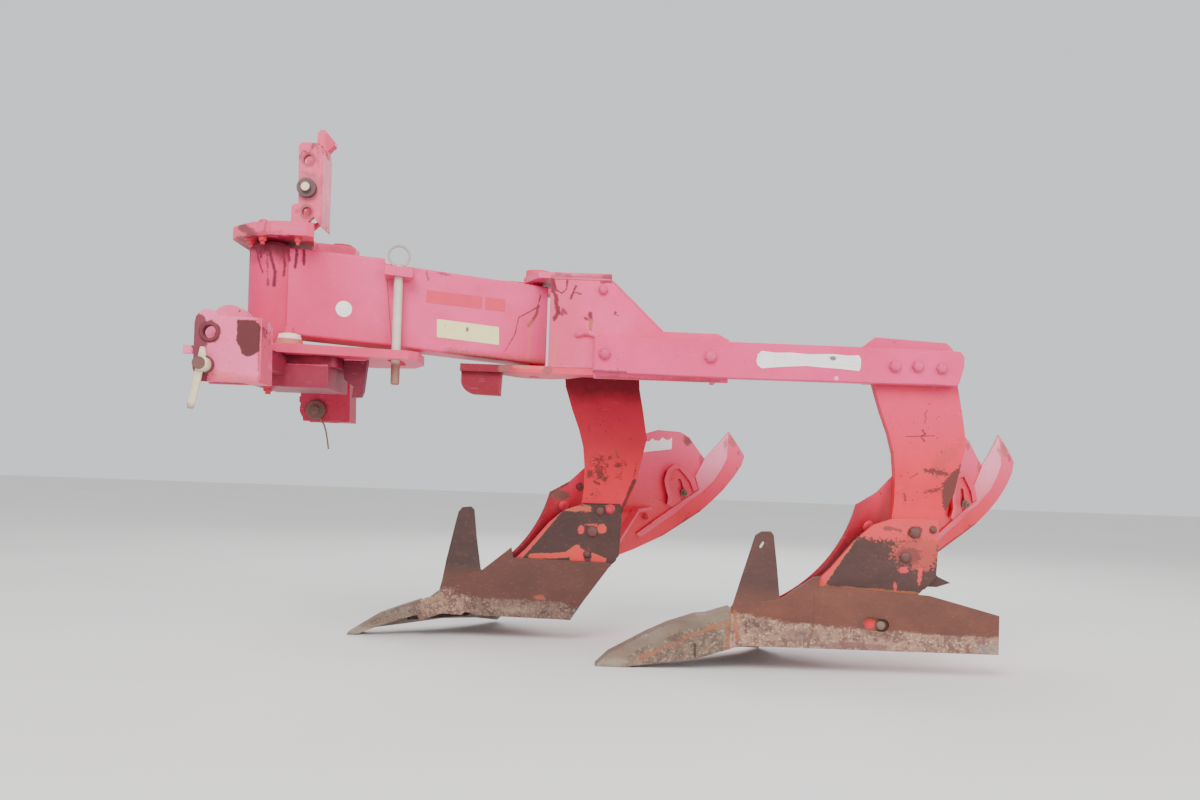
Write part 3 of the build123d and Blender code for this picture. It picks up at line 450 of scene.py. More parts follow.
def frog_layers(body):
    f = lambda x, z: B(body, x, -14, z)
    if body == "front":
        return [
            ("side", (f(690, 262), (-1, 0, 0.79)), (206, 44, 54), 1.0, (0.003, 0.0015), 0.001, ORANGE, 0.002),
            ("path", ([f(660, 196), f(720, 198), f(772, 204), f(806, 228)], 0.006), FROG_RED, 1.0, (0.006, 0.002), 0.0012, ORANGE, 0.0025),
            ("poly", [f(790, 160), f(786, 205), f(812, 232), f(840, 238), f(872, 238), f(902, 224), f(896, 196), f(925, 186), f(925, 160)], FROG_RED, 1.0, (0.006, 0.003), 0.0012, ORANGE, 0.0025),
            ("blob", (f(840, 205), R(13, 40, 30)), (84, 44, 40), 1.0, (0.008, 0.003), 0.001),
            ("blob", (f(816, 285), R(10, 40, 14)), (210, 50, 56), 1.0, (0.006, 0.003), 0.001),
            ("blob", (f(882, 290), R(13, 40, 14)), (214, 52, 58), 1.0, (0.008, 0.003), 0.001, ORANGE, 0.002),
            ("blob", (f(850, 300), R(22, 40, 6)), (200, 60, 60), 0.8, (0.008, 0.004), 0.001),
            ("blob", (f(905, 352), R(14, 40, 14)), (214, 56, 68), 0.95, (0.007, 0.003), 0.001),
            ("seg", (f(770, 352), f(835, 350), 0.010), (196, 84, 64), 0.9, (0.012, 0.008), 0.002),
        ]
    return [
        ("side", (f(700, 290), (-1, 0, 0.62)), (214, 52, 60), 1.0, (0.008, 0.002), 0.001, ORANGE, 0.0025),
        ("side", (f(860, 300), (0.10, 0, 1)), (214, 54, 64), 0.95, (0.020, 0.024), 0.0014, (150, 76, 52), 0.002),
        ("blob", (f(884, 272), R(60, 40, 40)), (186, 60, 58), 0.75, (0.030, 0.030), 0.0014, (140, 72, 50), 0.003),
        ("blob", (f(892, 205), R(7, 40, 24)), (218, 54, 64), 0.95, (0.007, 0.003), 0.001),
        ("blob", (f(848, 222), R(12, 40, 10)), (212, 52, 62), 0.9, (0.012, 0.005), 0.001),
        ("blob", (f(826, 178), R(8, 40, 12)), (212, 52, 62), 0.85, (0.010, 0.004), 0.001),
        ("side", (f(700, 172), (-0.05, 0, -1)), (186, 108, 64), 0.5, (0.008, 0.004), 0.002),
        ("blob", (f(875, 330), R(20, 40, 16)), (96, 48, 44), 0.9, (0.008, 0.005), 0.0012),
        ("blob", (f(926, 337), R(10, 40, 14)), (100, 50, 46), 0.85, (0.010, 0.006), 0.0012),
        ("seg", (f(795, 335), f(835, 332), 0.004), (110, 52, 48), 0.8, (0.012, 0.006), 0.0012),
        ("blob", (f(860, 262), R(30, 40, 22)), (92, 48, 44), 0.7, (0.012, 0.012), 0.0014),
        ("blob", (f(756, 72), R(20, 40, 15)), (212, 44, 54), 1.0, 0.005, 0.001),
    ]


def board_layers(body):
    b = lambda x, z: B(body, x, 400, z)
    out = [
        ("blob", (B(body, 1180, 424, 592), R(12, 60, 12)), (150, 84, 84), 0.7, 0.012, 0.002),
        ("path", ([B(body, 1000, 330, 196), B(body, 1104, 430, 243), B(body, 1242, 505, 333)], 0.012), (120, 52, 52), 0.7, 0.012, 0.004),
        ("blob", (B(body, 1368, 610, 600), R(18, 60, 26)), (150, 96, 82), 0.6, 0.026, 0.004),
        ("blob", (B(body, 1392, 610, 566), R(9, 60, 12)), (134, 78, 70), 0.6, 0.012, 0.002),
        ("blob", (B(body, 1238, 470, 530), R(9, 60, 18)), (150, 70, 80), 0.5, 0.012, 0.002),
    ]
    if body == "front":
        out += [
            ("blob", (B(body, 742, 20, 392), R(40, 60, 15)), (118, 72, 66), 1.0, 0.010, 0.0014),
            ("path", ([B(body, 715, 10, 400), B(body, 690, 10, 366), B(body, 668, 10, 322), B(body, 648, 10, 262), B(body, 612, 10, 206), B(body, 560, 10, 160)], 0.009), (100, 42, 42), 0.85, (0.008, 0.006), 0.002),
            ("path", ([B(body, 715, 10, 404), B(body, 773, 10, 436), B(body, 830, 10, 490)], 0.007), (104, 48, 46), 0.85, (0.008, 0.006), 0.002),
            ("blob", (B(body, 806, 20, 418), R(14, 60, 13)), (104, 48, 46), 0.85, (0.010, 0.006), 0.002),
            ("blob", (B(body, 1190, 430, 604), R(26, 60, 18)), (110, 56, 50), 0.6, (0.024, 0.016), 0.002),
            ("blob", (B(body, 756, 20, 346), R(24, 60, 20)), (124, 52, 56), 0.6, 0.012, 0.003),
        ]
    else:
        out += [
            ("path", ([B(body, 700, 10, 378), B(body, 672, 10, 322), B(body, 650, 10, 258), B(body, 618, 10, 210)], 0.005), (150, 56, 58), 0.7, 0.007, 0.002),
            ("blob", (B(body, 764, 20, 318), R(26, 60, 14)), (120, 54, 56), 0.75, 0.012, 0.003),
        ]
    return out


def board_mat(body):
    """Painted back, and a ploughing face worn bare."""
    dx, dy = OFFSET[body]
    m = painted(body + "_board_paint", (222, 46, 58), (226, 60, 74), (206, 32, 44),
                grad=[("Z", 0.40, 0.64, (244, 114, 140), 0.85), ("X", B(body, 820, 0, 0).x, B(body, 690, 0, 0).x, (124, 34, 44), 0.88)], fleck=0.15, layers=board_layers(body), pale=(232, 150, 160))
    t = m.node_tree
    b = t.nodes["Principled BSDF"]
    geo = t.nodes.new("ShaderNodeTexCoord")
    dot = t.nodes.new("ShaderNodeVectorMath")
    dot.operation = "DOT_PRODUCT"
    dot.inputs[1].default_value = (-0.74, 0.66, 0.1)
    t.links.new(geo.outputs["Normal"], dot.inputs[0])
    ns = t.nodes.new("ShaderNodeTexNoise")
    ns.inputs["Scale"].default_value = 7.0
    ns.inputs["Detail"].default_value = 8.0
    ns.inputs["Roughness"].default_value = 0.68
    t.links.new(geo.outputs["Object"], ns.inputs["Vector"])
    add = t.nodes.new("ShaderNodeMath")
    add.operation = "MULTIPLY_ADD"
    add.inputs[1].default_value = 0.3
    t.links.new(ns.outputs["Fac"], add.inputs[0])
    t.links.new(dot.outputs["Value"], add.inputs[2])
    rng = t.nodes.new("ShaderNodeMapRange")
    rng.inputs["From Min"].default_value = 0.22
    rng.inputs["From Max"].default_value = 0.34
    t.links.new(add.outputs[0], rng.inputs["Value"])
    bare = t.nodes.new("ShaderNodeValToRGB")
    bare.color_ramp.elements[0].position = 0.36
    bare.color_ramp.elements[0].color = lin((158, 146, 134))
    bare.color_ramp.elements[1].position = 0.62
    bare.color_ramp.elements[1].color = lin((126, 84, 62))
    t.links.new(ns.outputs["Fac"], bare.inputs["Fac"])
    mix = t.nodes.new("ShaderNodeMix")
    mix.data_type = "RGBA"
    old = b.inputs["Base Color"].links[0].from_socket
    t.links.new(rng.outputs["Result"], mix.inputs[0])
    t.links.new(old, mix.inputs[6])
    t.links.new(bare.outputs["Color"], mix.inputs[7])
    t.links.new(mix.outputs[2], b.inputs["Base Color"])
    met = t.nodes.new("ShaderNodeMath")
    met.operation = "MULTIPLY"
    met.inputs[1].default_value = 0.5
    t.links.new(rng.outputs["Result"], met.inputs[0])
    t.links.new(met.outputs[0], b.inputs["Metallic"])
    return m


TAN = (168, 142, 122)
BROWN = (132, 84, 68)


SOLE = ((152, 116, 94), (112, 76, 68), (178, 150, 126))
SOLE_DARK = ((114, 86, 74), (80, 56, 52), (142, 118, 102))


def landside_layers(body):
    f = lambda x, z: B(body, x, -28, z)
    if body == "rear":
        return [
            ("side", (f(376, 90), (-0.1136, 0, -1)), SOLE, 0.95, (0.014, 0.004), 0.003),
            ("side", (f(649, 59), (-0.03, 0, -1)), SOLE, 0.95, (0.014, 0.004), 0.003),
            ("blob", (f(450, 58), R(34, 30, 22)), SOLE_DARK, 0.8, (0.018, 0.004), 0.004),
            ("blob", (f(560, 36), R(46, 30, 20)), (112, 80, 78), 0.6, (0.024, 0.006), 0.005),
            ("seg", (f(590, 8), f(700, 12), 0.006), (118, 78, 80), 0.65, (0.016, 0.004), 0.003),
            ("seg", (f(588, 10), f(600, 60), 0.004), (104, 62, 50), 0.7, 0.006, 0.002),
            ("seg", (f(600, 60), f(600, 150), 0.0015), (84, 48, 40), 0.6, 0.004, 0.001),
            ("seg", (f(392, 20), f(382, 95), 0.006), (156, 86, 52), 0.7, 0.010, 0.002),
            ("seg", (f(690, 14), f(800, 8), 0.007), (120, 78, 76), 0.7, 0.012, 0.003),
            ("blob", (f(1085, 15), R(30, 30, 12)), (140, 132, 128), 0.5, 0.014, 0.004),
            ("blob", (f(772, 68), R(46, 30, 34)), (84, 50, 42), 0.55, 0.014, 0.006),
            ("seg", (f(620, 186), f(930, 184), 0.006), (140, 76, 56), 0.35, 0.010, 0.004),
        ]
    return [
        ("side", (f(600, 58), (-0.06, 0, -1)), SOLE_DARK, 0.9, (0.022, 0.006), 0.004),
        ("blob", (f(390, 36), R(90, 30, 44)), SOLE, 0.85, (0.026, 0.008), 0.005),
        ("blob", (f(600, 24), R(60, 30, 14)), (156, 128, 108), 0.5, (0.03, 0.008), 0.006),
        ("blob", (f(690, 68), R(12, 30, 5)), (176, 72, 62), 0.6, (0.010, 0.003), 0.002),
    ]


TIP = ((126, 110, 98), (88, 74, 66), (156, 138, 118))
EARTH = ((122, 98, 82), (94, 74, 64), (156, 136, 116))


def point_layers(body):
    f = lambda x, z: B(body, x, -28, z)
    if body == "rear":
        return [
            ("poly", [f(-10, -90), f(-10, 20), f(180, 60), f(280, 100), f(390, 120), f(380, 84), f(280, 54), f(200, 22), f(120, -16), f(60, -70)], TIP, 0.95, (0.014, 0.004), 0.004),
            ("poly", [f(60, -72), f(120, -18), f(200, 20), f(280, 52), f(380, 80), f(390, -10), f(282, -46), f(198, -60)], EARTH, 0.9, (0.014, 0.004), 0.004),
            ("path", ([f(130, -40), f(200, -10), f(270, 26), f(340, 58), f(372, 66)], 0.006), (156, 92, 60), 0.75, (0.014, 0.005), 0.004),
            ("seg", (f(278, -32), f(276, 0), 0.003), (60, 46, 42), 0.9, 0.003, 0.001),
            ("seg", (f(366, -6), f(370, 96), 0.006), (150, 82, 52), 0.6, (0.010, 0.004), 0.003),
            ("blob", (f(54, -58), R(50, 30, 10)), (164, 150, 132), 0.6, (0.014, 0.004), 0.005),
            ("blob", (f(220, 12), R(26, 30, 10)), (92, 72, 62), 0.7, (0.014, 0.004), 0.004),
        ]
    return [
        ("side", (f(200, 0), (0.3, 0, 1)), TIP, 0.7, (0.014, 0.004), 0.006),
        ("path", ([f(120, -58), f(200, -18), f(300, 8)], 0.008), EARTH, 0.8, (0.016, 0.004), 0.003),
        ("seg", (f(240, 26), f(310, 34), 0.007), (108, 78, 66), 0.7, 0.010, 0.003),
        ("blob", (f(130, -54), R(50, 30, 12)), (164, 150, 132), 0.6, 0.012, 0.004),
    ]


M = {}
# The beam's Z grad darkens the bottom of its face as painted shade of the rounded lower corner.
M["beam"] = painted("beam_paint", **PINK, layers=DRIPS + BEAM_CRACKS_RUST_AND_SHADE, grad=[("Z", 0.865, 0.845, (206, 70, 100), 0.8)], fleck=0.0, rough=0.42)
# The barrel's colours are darker than the beam's as painted shade. Its Z grad and the two large dark blobs just below
# the flange are painted shadow of the flange mixed with oil; the thin paths are oil drips.
M["barrel"] = painted("barrel_shaded_paint", (214, 56, 102), (220, 74, 120), (200, 42, 84), grad=[("Z", 1.05, 1.11, (120, 44, 60), 0.85)],
                      layers=[
                          ("path", ([W(-902, -117, 1050), W(-896, -116, 1010), W(-884, -113, 968), W(-885, -113, 930)], 0.0042), OIL, 0.9, (0.006, 0.002), 0.0015),
                          ("path", ([W(-955, -95, 1050), W(-966, -78, 985), W(-966, -78, 905)], 0.0038), OIL, 0.85, (0.006, 0.002), 0.0015),
                          ("path", ([W(-938, -108, 1030), W(-925, -115, 985), W(-915, -116, 962)], 0.0026), OIL, 0.85, (0.004, 0.002), 0.0015),
                          ("path", ([W(-925, -115, 1040), W(-922, -115, 1005)], 0.004), OIL, 0.8, (0.005, 0.002), 0.0015),
                          ("path", ([W(-868, -106, 1045), W(-862, -101, 985), W(-864, -103, 960)], 0.003), OIL, 0.8, (0.006, 0.002), 0.0015),
                          ("blob", (W(-872, -106, 1040), R(34, 30, 40)), (110, 34, 50), 0.75, (0.020, 0.006), 0.010),
                          ("blob", (W(-920, -117, 1050), R(70, 50, 34)), (100, 30, 44), 0.85, (0.028, 0.010), 0.006),
                          ("seg", (W(-905, -117, 1010), W(-900, -117, 930), 0.0022), OIL, 0.7, (0.008, 0.003), 0.002),
                      ])
# The flange's Z grad darkens its underside and lowest edge as painted shade.
M["flange"] = painted("flange_paint", (226, 96, 124), (236, 124, 148), (214, 78, 102),
                      grad=[("X", -1.15, -1.19, (216, 126, 118), 0.8), ("Z", 1.131, 1.126, (140, 40, 58), 0.8)],
                      layers=[("seg", (W(-925, -145, 1090), W(-928, -145, 1060), 0.004), (172, 96, 92), 0.7, 0.006, 0.002),
                              ("seg", (W(-880, -156, 1078), W(-800, -156, 1072), 0.003), (196, 110, 136), 0.6, 0.006, 0.002),
                              ("seg", (W(-985, -100, 1088), W(-940, -140, 1062), 0.013), (122, 58, 66), 0.85, (0.014, 0.006), 0.003),
                              ("seg", (W(-950, -140, 1060), W(-860, -150, 1060), 0.005), (150, 56, 74), 0.6, (0.012, 0.006), 0.003),
                              ("seg", (W(-900, -150, 1088), W(-903, -150, 1066), 0.004), (160, 74, 84), 0.7, (0.008, 0.004), 0.002)], edge_wear_and_highlight=0.55)
M["frame"] = painted("frame_paint", **PINK, fleck=0.05)
M["plate"] = painted("slew_plate_paint", (218, 78, 108), (226, 98, 126), (202, 58, 86), layers=CONE, fleck=0.1)
# shaded_under_paint: the frame's pink paint darkened as painted shade for the column, lower pivot plate, cross member,
# far plate and cross tube; its Z grad darkens everything above about 0.81 m further, as painted shade under the
# slewing plate.
M["under"] = painted("shaded_under_paint", (142, 58, 72), (154, 66, 80), (112, 42, 54), grad=[("Z", 0.795, 0.81, (92, 34, 46), 0.8)], fleck=0.3, edge_wear_and_highlight=0.25)
# The stop web's paint is darkened as painted shade.
M["web"] = painted("web_painted_shade", (104, 44, 56), (118, 50, 62), (82, 34, 44), fleck=0.4, edge_wear_and_highlight=0.15)
# The mast's X grad darkens its rear strip as painted shade.
M["mast"] = painted("mast_paint", (226, 108, 128), (228, 128, 134), (206, 84, 108), layers=MAST_RUST, fleck=0.15,
                    grad=[("X", (-768 - X_MID) / 1000, (-758 - X_MID) / 1000, (206, 70, 106), 0.85)])
# The left bracket's X grad darkens its end face as painted shade.
M["left_bracket"] = painted("left_bracket_paint", (234, 136, 158), (242, 168, 190), (222, 104, 124), layers=BRACKET_RUST, fleck=0.12,
                            grad=[("Z", 0.72, 0.705, (204, 100, 96), 0.7), ("X", (-774 - X_MID) / 1000, (-770 - X_MID) / 1000, (214, 84, 108), 0.8)])
# The far hitch bracket takes a darker copy of the bracket paint, as painted shade.
M["right_bracket"] = painted("right_bracket_painted_shade", (180, 60, 82), (190, 72, 94), (160, 46, 64), fleck=0.2)
M["near"] = painted("near_plate_paint", (230, 88, 128), (240, 120, 156), (220, 72, 108), layers=NEAR_RUST, fleck=0.05,
                    grad=[("X", -0.25, -0.30, (216, 96, 116), 0.7)])
M["hinge"] = painted("hinge_plate_paint", (222, 96, 124), (230, 122, 146), (206, 80, 106), fleck=0.15,
                     layers=[("seg", (W(-150, 0, 1003), W(10, 0, 1003), 0.006), (150, 74, 78), 0.6, 0.010, 0.003),
                             ("seg", (W(-140, 0, 1012), W(-100, 0, 1006), 0.005), (140, 64, 74), 0.6, 0.008, 0.003),
                             ("blob", (W(4, 0, 1005), R(16, 12, 10)), (120, 56, 66), 0.7, 0.006, 0.002)])
# The arm's X grad darkens its front end, beyond about X -0.50 m, as painted shade.
M["arm"] = painted("arm_paint", (222, 74, 92), (230, 92, 106), (206, 56, 74), fleck=0.1,
                   grad=[("X", -0.43, -0.50, (124, 30, 46), 0.95)],
                   layers=[("blob", (W(-278, 0, 744), R(16, 20, 14)), (142, 84, 78), 0.8, 0.010, 0.002),
                           ("blob", (W(-157, 0, 744), R(14, 20, 12)), (150, 84, 78), 0.8, 0.008, 0.002),
                           ("seg", (W(-250, 0, 750), W(-170, 0, 748), 0.004), (196, 128, 104), 0.5, 0.008, 0.002)])
M["bar"] = painted("bar_paint", **BAR, fleck=0.04, layers=[
    ("seg", (W(-28, -30, 742), W(60, -30, 741), 0.003), (110, 48, 60), 0.7, 0.005, 0.001),
    ("blob", (W(640, -30, 745), R(5, 20, 5)), (240, 180, 196), 0.7, 0.004, 0.001),
    ("seg", (W(820, -30, 737), W(940, -30, 735), 0.003), (150, 60, 76), 0.5, 0.006, 0.002)])
M["pins"] = painted("pin_paint", (214, 76, 100), (224, 100, 120), (196, 58, 82), fleck=0.25)
M["tie"] = painted("tie_paint", **BAR, fleck=0.15)
for body in ("front", "rear"):
    top = (200, 50, 74) if body == "front" else (224, 68, 104)
    # The legs' second Z grad, darkest at the top, is painted shadow under the carrying bar: strong on the front leg,
    # faint on the rear.
    M[body + "_leg"] = painted(body + "_leg_paint", (216, 52, 62), (222, 66, 76), (204, 38, 48), fleck=0.35, layers=leg_layers(body),
                               grad=[("Z", 0.56, 0.74, top, 0.9), ("Z", 0.75, 0.80, (112, 30, 42), 0.85 if body == "front" else 0.25)], pale=(230, 130, 140))
    M[body + "_board"] = board_mat(body)
    # The strip's Z grad lightens its upper part to near white as a painted highlight.
    M[body + "_strip"] = painted(body + "_strip_highlit_paint", (228, 86, 102), (232, 104, 120), (220, 70, 86),
                                 grad=[("Z", 0.44, 0.60, (250, 196, 190), 0.92)], fleck=0.1, pale=(240, 190, 196),
                                 layers=[("blob", (B(body, 1338, 590, 590), R(14, 60, 20)), (150, 96, 84), 0.6, 0.022, 0.003)])
    M[body + "_bracket"] = painted(body + "_bracket_paint", (222, 68, 84), (228, 86, 102), (206, 46, 60), fleck=0.1, pale=(240, 150, 162),
                                   layers=[("path", ([B(body, 1172, 400, 395), B(body, 1163, 400, 420), B(body, 1150, 400, 450)], 0.010), (120, 58, 54), 0.85, 0.006, 0.003)])
    M[body + "_rim"] = painted(body + "_rim_paint", (228, 80, 98), (234, 102, 118), (214, 60, 78), fleck=0.1, pale=(238, 160, 170))
    M[body + "_stay"] = painted(body + "_stay_paint", (224, 76, 92), (232, 98, 112), (210, 56, 72), fleck=0.1, pale=(240, 160, 160))
    M[body + "_frog"] = steel(body + "_frog_steel", (64, 37, 34), (76, 44, 39), film=(54, 32, 32), film_amt=0.5, rough=0.6, metal=0.05, layers=frog_layers(body), bump_k=0.3, until_y=B(body, 0, 1, 0).y)
    M[body + "_landside"] = steel(body + "_landside_steel", (108, 60, 46) if body == "rear" else (92, 52, 42), (92, 52, 42) if body == "rear" else (80, 46, 38), film=(120, 70, 52) if body == "rear" else (102, 60, 46), film_amt=0.35, rough=0.6, metal=0.05, layers=landside_layers(body))
    fin = ((58, 40, 37), (68, 44, 40)) if body == "front" else ((70, 43, 39), (82, 48, 41))
    M[body + "_fin"] = steel(body + "_fin_steel", *fin, film=(96, 57, 46), film_amt=0.3, rough=0.6, metal=0.05,
                             grad=[("Z", 0.24, 0.16, (116, 68, 50), 0.7)])
    M[body + "_share"] = steel(body + "_share_steel", (140, 128, 116), (112, 90, 76), film_amt=0.35, rough=0.42, metal=0.45)
    M[body + "_point"] = steel(body + "_point_steel", (134, 116, 100), (104, 88, 76), film=(138, 98, 74), film_amt=0.45, rough=0.55, metal=0.15, layers=point_layers(body), bump_k=0.9)
M["drop_pin"] = steel("drop_pin_steel", (214, 204, 188), (196, 184, 166), film=(176, 156, 134), film_amt=0.25, rough=0.5, metal=0.1,
                      grad=[("Z", 0.815, 0.80, (140, 84, 72), 0.9), ("Z", 1.075, 1.09, (158, 142, 132), 0.8)])
M["link_pin"] = steel("link_pin_steel", (104, 74, 72), (88, 64, 66), film=(128, 84, 80), film_amt=0.5, rough=0.6, metal=0.1,
                      layers=[("blob", (W(-797, -160, 1183), R(10.5, 7, 10.5)), (226, 206, 168), 1.0, 0.0015, 0.0008)])
M["hitch_pins"] = steel("hitch_pin_steel", (112, 74, 66), (92, 62, 58), film=(140, 92, 70), film_amt=0.5, rough=0.55, metal=0.15)
M["dark_bolt"] = steel("dark_bolt_steel", (104, 62, 58), (90, 54, 52), film=(126, 78, 62), film_amt=0.4, rough=0.6, metal=0.1)
M["grey_bolt"] = steel("grey_bolt_steel", (122, 106, 92), (104, 84, 72), film=(128, 84, 62), film_amt=0.4, rough=0.55, metal=0.2)
M["red_bolt"] = painted("red_bolt_paint", (200, 60, 70), (208, 74, 84), (182, 48, 58), fleck=0.5, scale=2.0)
M["pink_bolt"] = painted("pink_bolt_paint", (212, 88, 122), (220, 108, 140), (196, 72, 104), fleck=0.1, scale=2.0)
M["cream"] = steel("lever_steel", (224, 210, 178), (206, 188, 156), film=(186, 150, 118), film_amt=0.3, rough=0.5, metal=0.05,
                   grad=[("Z", 0.655, 0.638, (150, 120, 110), 0.8)], scale=2.0)
M["wire"] = steel("wire_steel", (140, 96, 66), (112, 76, 58), film_amt=0.3, rough=0.6, metal=0.1, scale=2.0)
M["weld"] = painted("weld_paint", (218, 104, 126), (226, 128, 146), (200, 80, 104), fleck=0.1, scale=2.5)

NODE_MAT = {
    "top_flange": "flange", "headstock_column": "under", "slewing_plate": "plate", "lower_pivot_plate": "under", "cross_member": "under",
    "stop_web": "web", "mast": "mast", "top_link_pin": "link_pin", "left_hitch_bracket": "left_bracket", "right_hitch_bracket": "right_bracket",
    "hitch_pins": "hitch_pins", "front_pivot_pin": "pins", "tie_front_pin": "pins", "main_beam": "beam", "front_barrel": "barrel",
    "pin_ear": "frame", "drop_pin": "drop_pin", "tie_bar": "tie", "hinge_top_plate": "hinge", "bottom_plate": "arm", "adjuster_lug": "arm",
    "frame_near_plate": "near", "frame_far_plate": "under", "frame_back_plate": "near", "cross_tube": "under", "hinge_pins": "pins",
    "carrying_bar": "bar",
}
for body in ("front", "rear"):
    for part, mat in (("leg", "_leg"), ("frog", "_frog"), ("landside", "_landside"), ("fin", "_fin"), ("share", "_share"), ("point", "_point"),
                      ("moldboard", "_board"), ("strip", "_strip"), ("bracket", "_bracket"), ("bracket_rim", "_rim"), ("stay", "_stay")):
        NODE_MAT[body + "_" + part] = body + mat
    NODE_MAT[body + "_backing_plate"] = "bar"
for name, obj in N.items():
    mat = M[NODE_MAT[name]]
    if not obj.material_slots:
        obj.data.materials.append(mat)
    for s in obj.material_slots:
        s.material = mat


# --------------------------------------------------------------------- pieces
def piece(name, bm, body, mat, smooth=False):
    me = bpy.data.meshes.new(name)
    bmesh.ops.recalc_face_normals(bm, faces=bm.faces)
    bm.to_mesh(me)
    bm.free()
    for p in me.polygons:
        p.use_smooth = smooth
    o = bpy.data.objects.new(name, me)
    bpy.context.collection.objects.link(o)
    me.materials.append(M[mat])
    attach(o, body)
    return o


def basis(axis, roll=0.0):
    z = Vector(axis).normalized()
    x = Vector((0, 0, 1)).cross(z)
    if x.length < 0.1:
        x = Vector((1, 0, 0))
    x.normalize()
    y = z.cross(x)
    m = Matrix((x, y, z)).transposed()
    return m @ Matrix.Rotation(roll, 3, "Z")


def rings(bm, at, mat3, rows, n, turn=0.0, cap=True):
    """Stacked rings: rows of (radius, height); n sides."""
    prev = None
    first = None
    for r, h in rows:
        ring = [bm.verts.new(at + mat3 @ Vector((r * math.cos(2 * math.pi * (i + turn) / n), r * math.sin(2 * math.pi * (i + turn) / n), h))) for i in range(n)]
        if prev:
            for i in range(n):
                bm.faces.new((prev[i], prev[(i + 1) % n], ring[(i + 1) % n], ring[i]))
        else:
            first = ring
        prev = ring
    if cap:
        bm.faces.new(prev)
        bm.faces.new(first[::-1])


def hexbolt(bm, at, axis, r, h, washer=1.5, stub=0.0, roll=0.3):
    """Chamfered hexagon head on a washer, all in millimetres; stub adds a threaded end."""
    k = 0.001
    m3 = basis(axis, roll)
    z = -1.0
    if washer:
        rings(bm, at, m3, [(r * 1.28 * k, z * k), (r * 1.34 * k, 0.6 * k), (r * 1.34 * k, 1.8 * k), (r * 1.26 * k, 2.4 * k)], 28)
        z = 2.2
    rings(bm, at, m3, [(r * k, z * k), (r * k, (z + h * 0.78) * k), (r * 0.93 * k, (z + h * 0.93) * k), (r * 0.8 * k, (z + h) * k)], 6)
    if stub:
        rows, hh = [], z + h - 1
        steps = max(4, int(stub / 1.2))
        for i in range(steps):
            rows.append(((r * 0.52 if i % 2 else r * 0.58) * k, (hh + stub * i / (steps - 1)) * k))
        rows.append((r * 0.42 * k, (hh + stub + 1) * k))
        rings(bm, at, m3, rows, 18)


def domebolt(bm, at, axis, r, h):
    """Round carriage head with a small flat rim."""
    k = 0.001
    rows = [(r * k, -1 * k), (r * k, h * 0.15 * k)]
    for i in range(1, 7):
        a = i / 6 * math.pi / 2 * 0.94
        rows.append((r * math.cos(a) * 0.98 * k, h * (0.15 + 0.85 * math.sin(a)) * k))
    rings(bm, at, basis(axis), rows, 24)


def tube(bm, pts, r, n=8, taper=None):
    """Round bar along points, radius in metres, ends closed."""
    frames = []
    up = Vector((0, 1, 0))
    for i, p in enumerate(pts):
        d = (pts[min(i + 1, len(pts) - 1)] - pts[max(i - 1, 0)]).normalized()
        x = up.cross(d)
        if x.length < 1e-3:
            x = Vector((1, 0, 0)).cross(d)
        x.normalize()
        frames.append((p, x, d.cross(x)))
    prev = None
    first = None
    for i, (p, x, y) in enumerate(frames):
        rr = r if taper is None else r * taper(i / (len(frames) - 1))
        ring = [bm.verts.new(p + x * rr * math.cos(2 * math.pi * j / n) + y * rr * math.sin(2 * math.pi * j / n)) for j in range(n)]
        if prev:
            for j in range(n):
                bm.faces.new((prev[j], prev[(j + 1) % n], ring[(j + 1) % n], ring[j]))
        else:
            first = ring
        prev = ring
    bm.faces.new(prev)
    bm.faces.new(first[::-1])


def weld(name, pts, r, body, mat="weld"):
    """A rippled bead along a joint."""
    rnd = random.Random(name)
    bm = bmesh.new()
    out = []
    for a, b in zip(pts, pts[1:]):
        n = max(3, int((b - a).length / 0.0028))
        for i in range(n):
            t = i / n
            p = a.lerp(b, t)
            out.append(p + Vector([rnd.uniform(-1, 1) * r * 0.12 for _ in range(3)]))
    out.append(pts[-1])
    wav = [1.0 + 0.14 * math.sin(i * 2.1) + rnd.uniform(-0.07, 0.07) for i in range(len(out))]
    wav[0] = wav[-1] = 0.5
    tube(bm, out, r, 8, taper=lambda t: wav[int(round(t * (len(out) - 1)))])
    return piece(name, bm, body, mat, smooth=True)


def slab(bm, pts, nrm, t):
    """Thin closed sheet over an outline, t metres thick, along nrm."""
    lo = [bm.verts.new(p) for p in pts]
    hi = [bm.verts.new(p + nrm * t) for p in pts]
    bm.faces.new(hi)
    bm.faces.new(lo[::-1])
    n = len(pts)
    for i in range(n):
        bm.faces.new((lo[i], lo[(i + 1) % n], hi[(i + 1) % n], hi[i]))


def sheet_mat(name, base, spots, spot_col, rough=0.5, extra=()):
    m = Mat(name)
    n1 = m.noise(30, 5, 0.6)
    n2 = m.noise(140, 6, 0.7)
    col = m.mix(m.math("MULTIPLY", m.step(n1, 0.4, 0.7), 0.35), lin(base), lin(tuple(int(c * 0.9) for c in base)))
    col = m.mix(m.math("MULTIPLY", m.step(n2, 0.62 - spots, 0.7 - spots), 0.45), col, lin(spot_col))
    if extra:
        col, _ = lay(m, col, extra, n2, n1)
    m.link(col, m.b.inputs["Base Color"])
    m.link(m.math("ADD", m.math("MULTIPLY", n2, 0.2), rough - 0.1), m.b.inputs["Roughness"])
    bump = m.new("ShaderNodeBump")
    bump.inputs["Strength"].default_value = 0.15
    bump.inputs["Distance"].default_value = 0.0004
    m.link(n2, bump.inputs["Height"])
    m.link(bump.outputs["Normal"], m.b.inputs["Normal"])
    return m.m


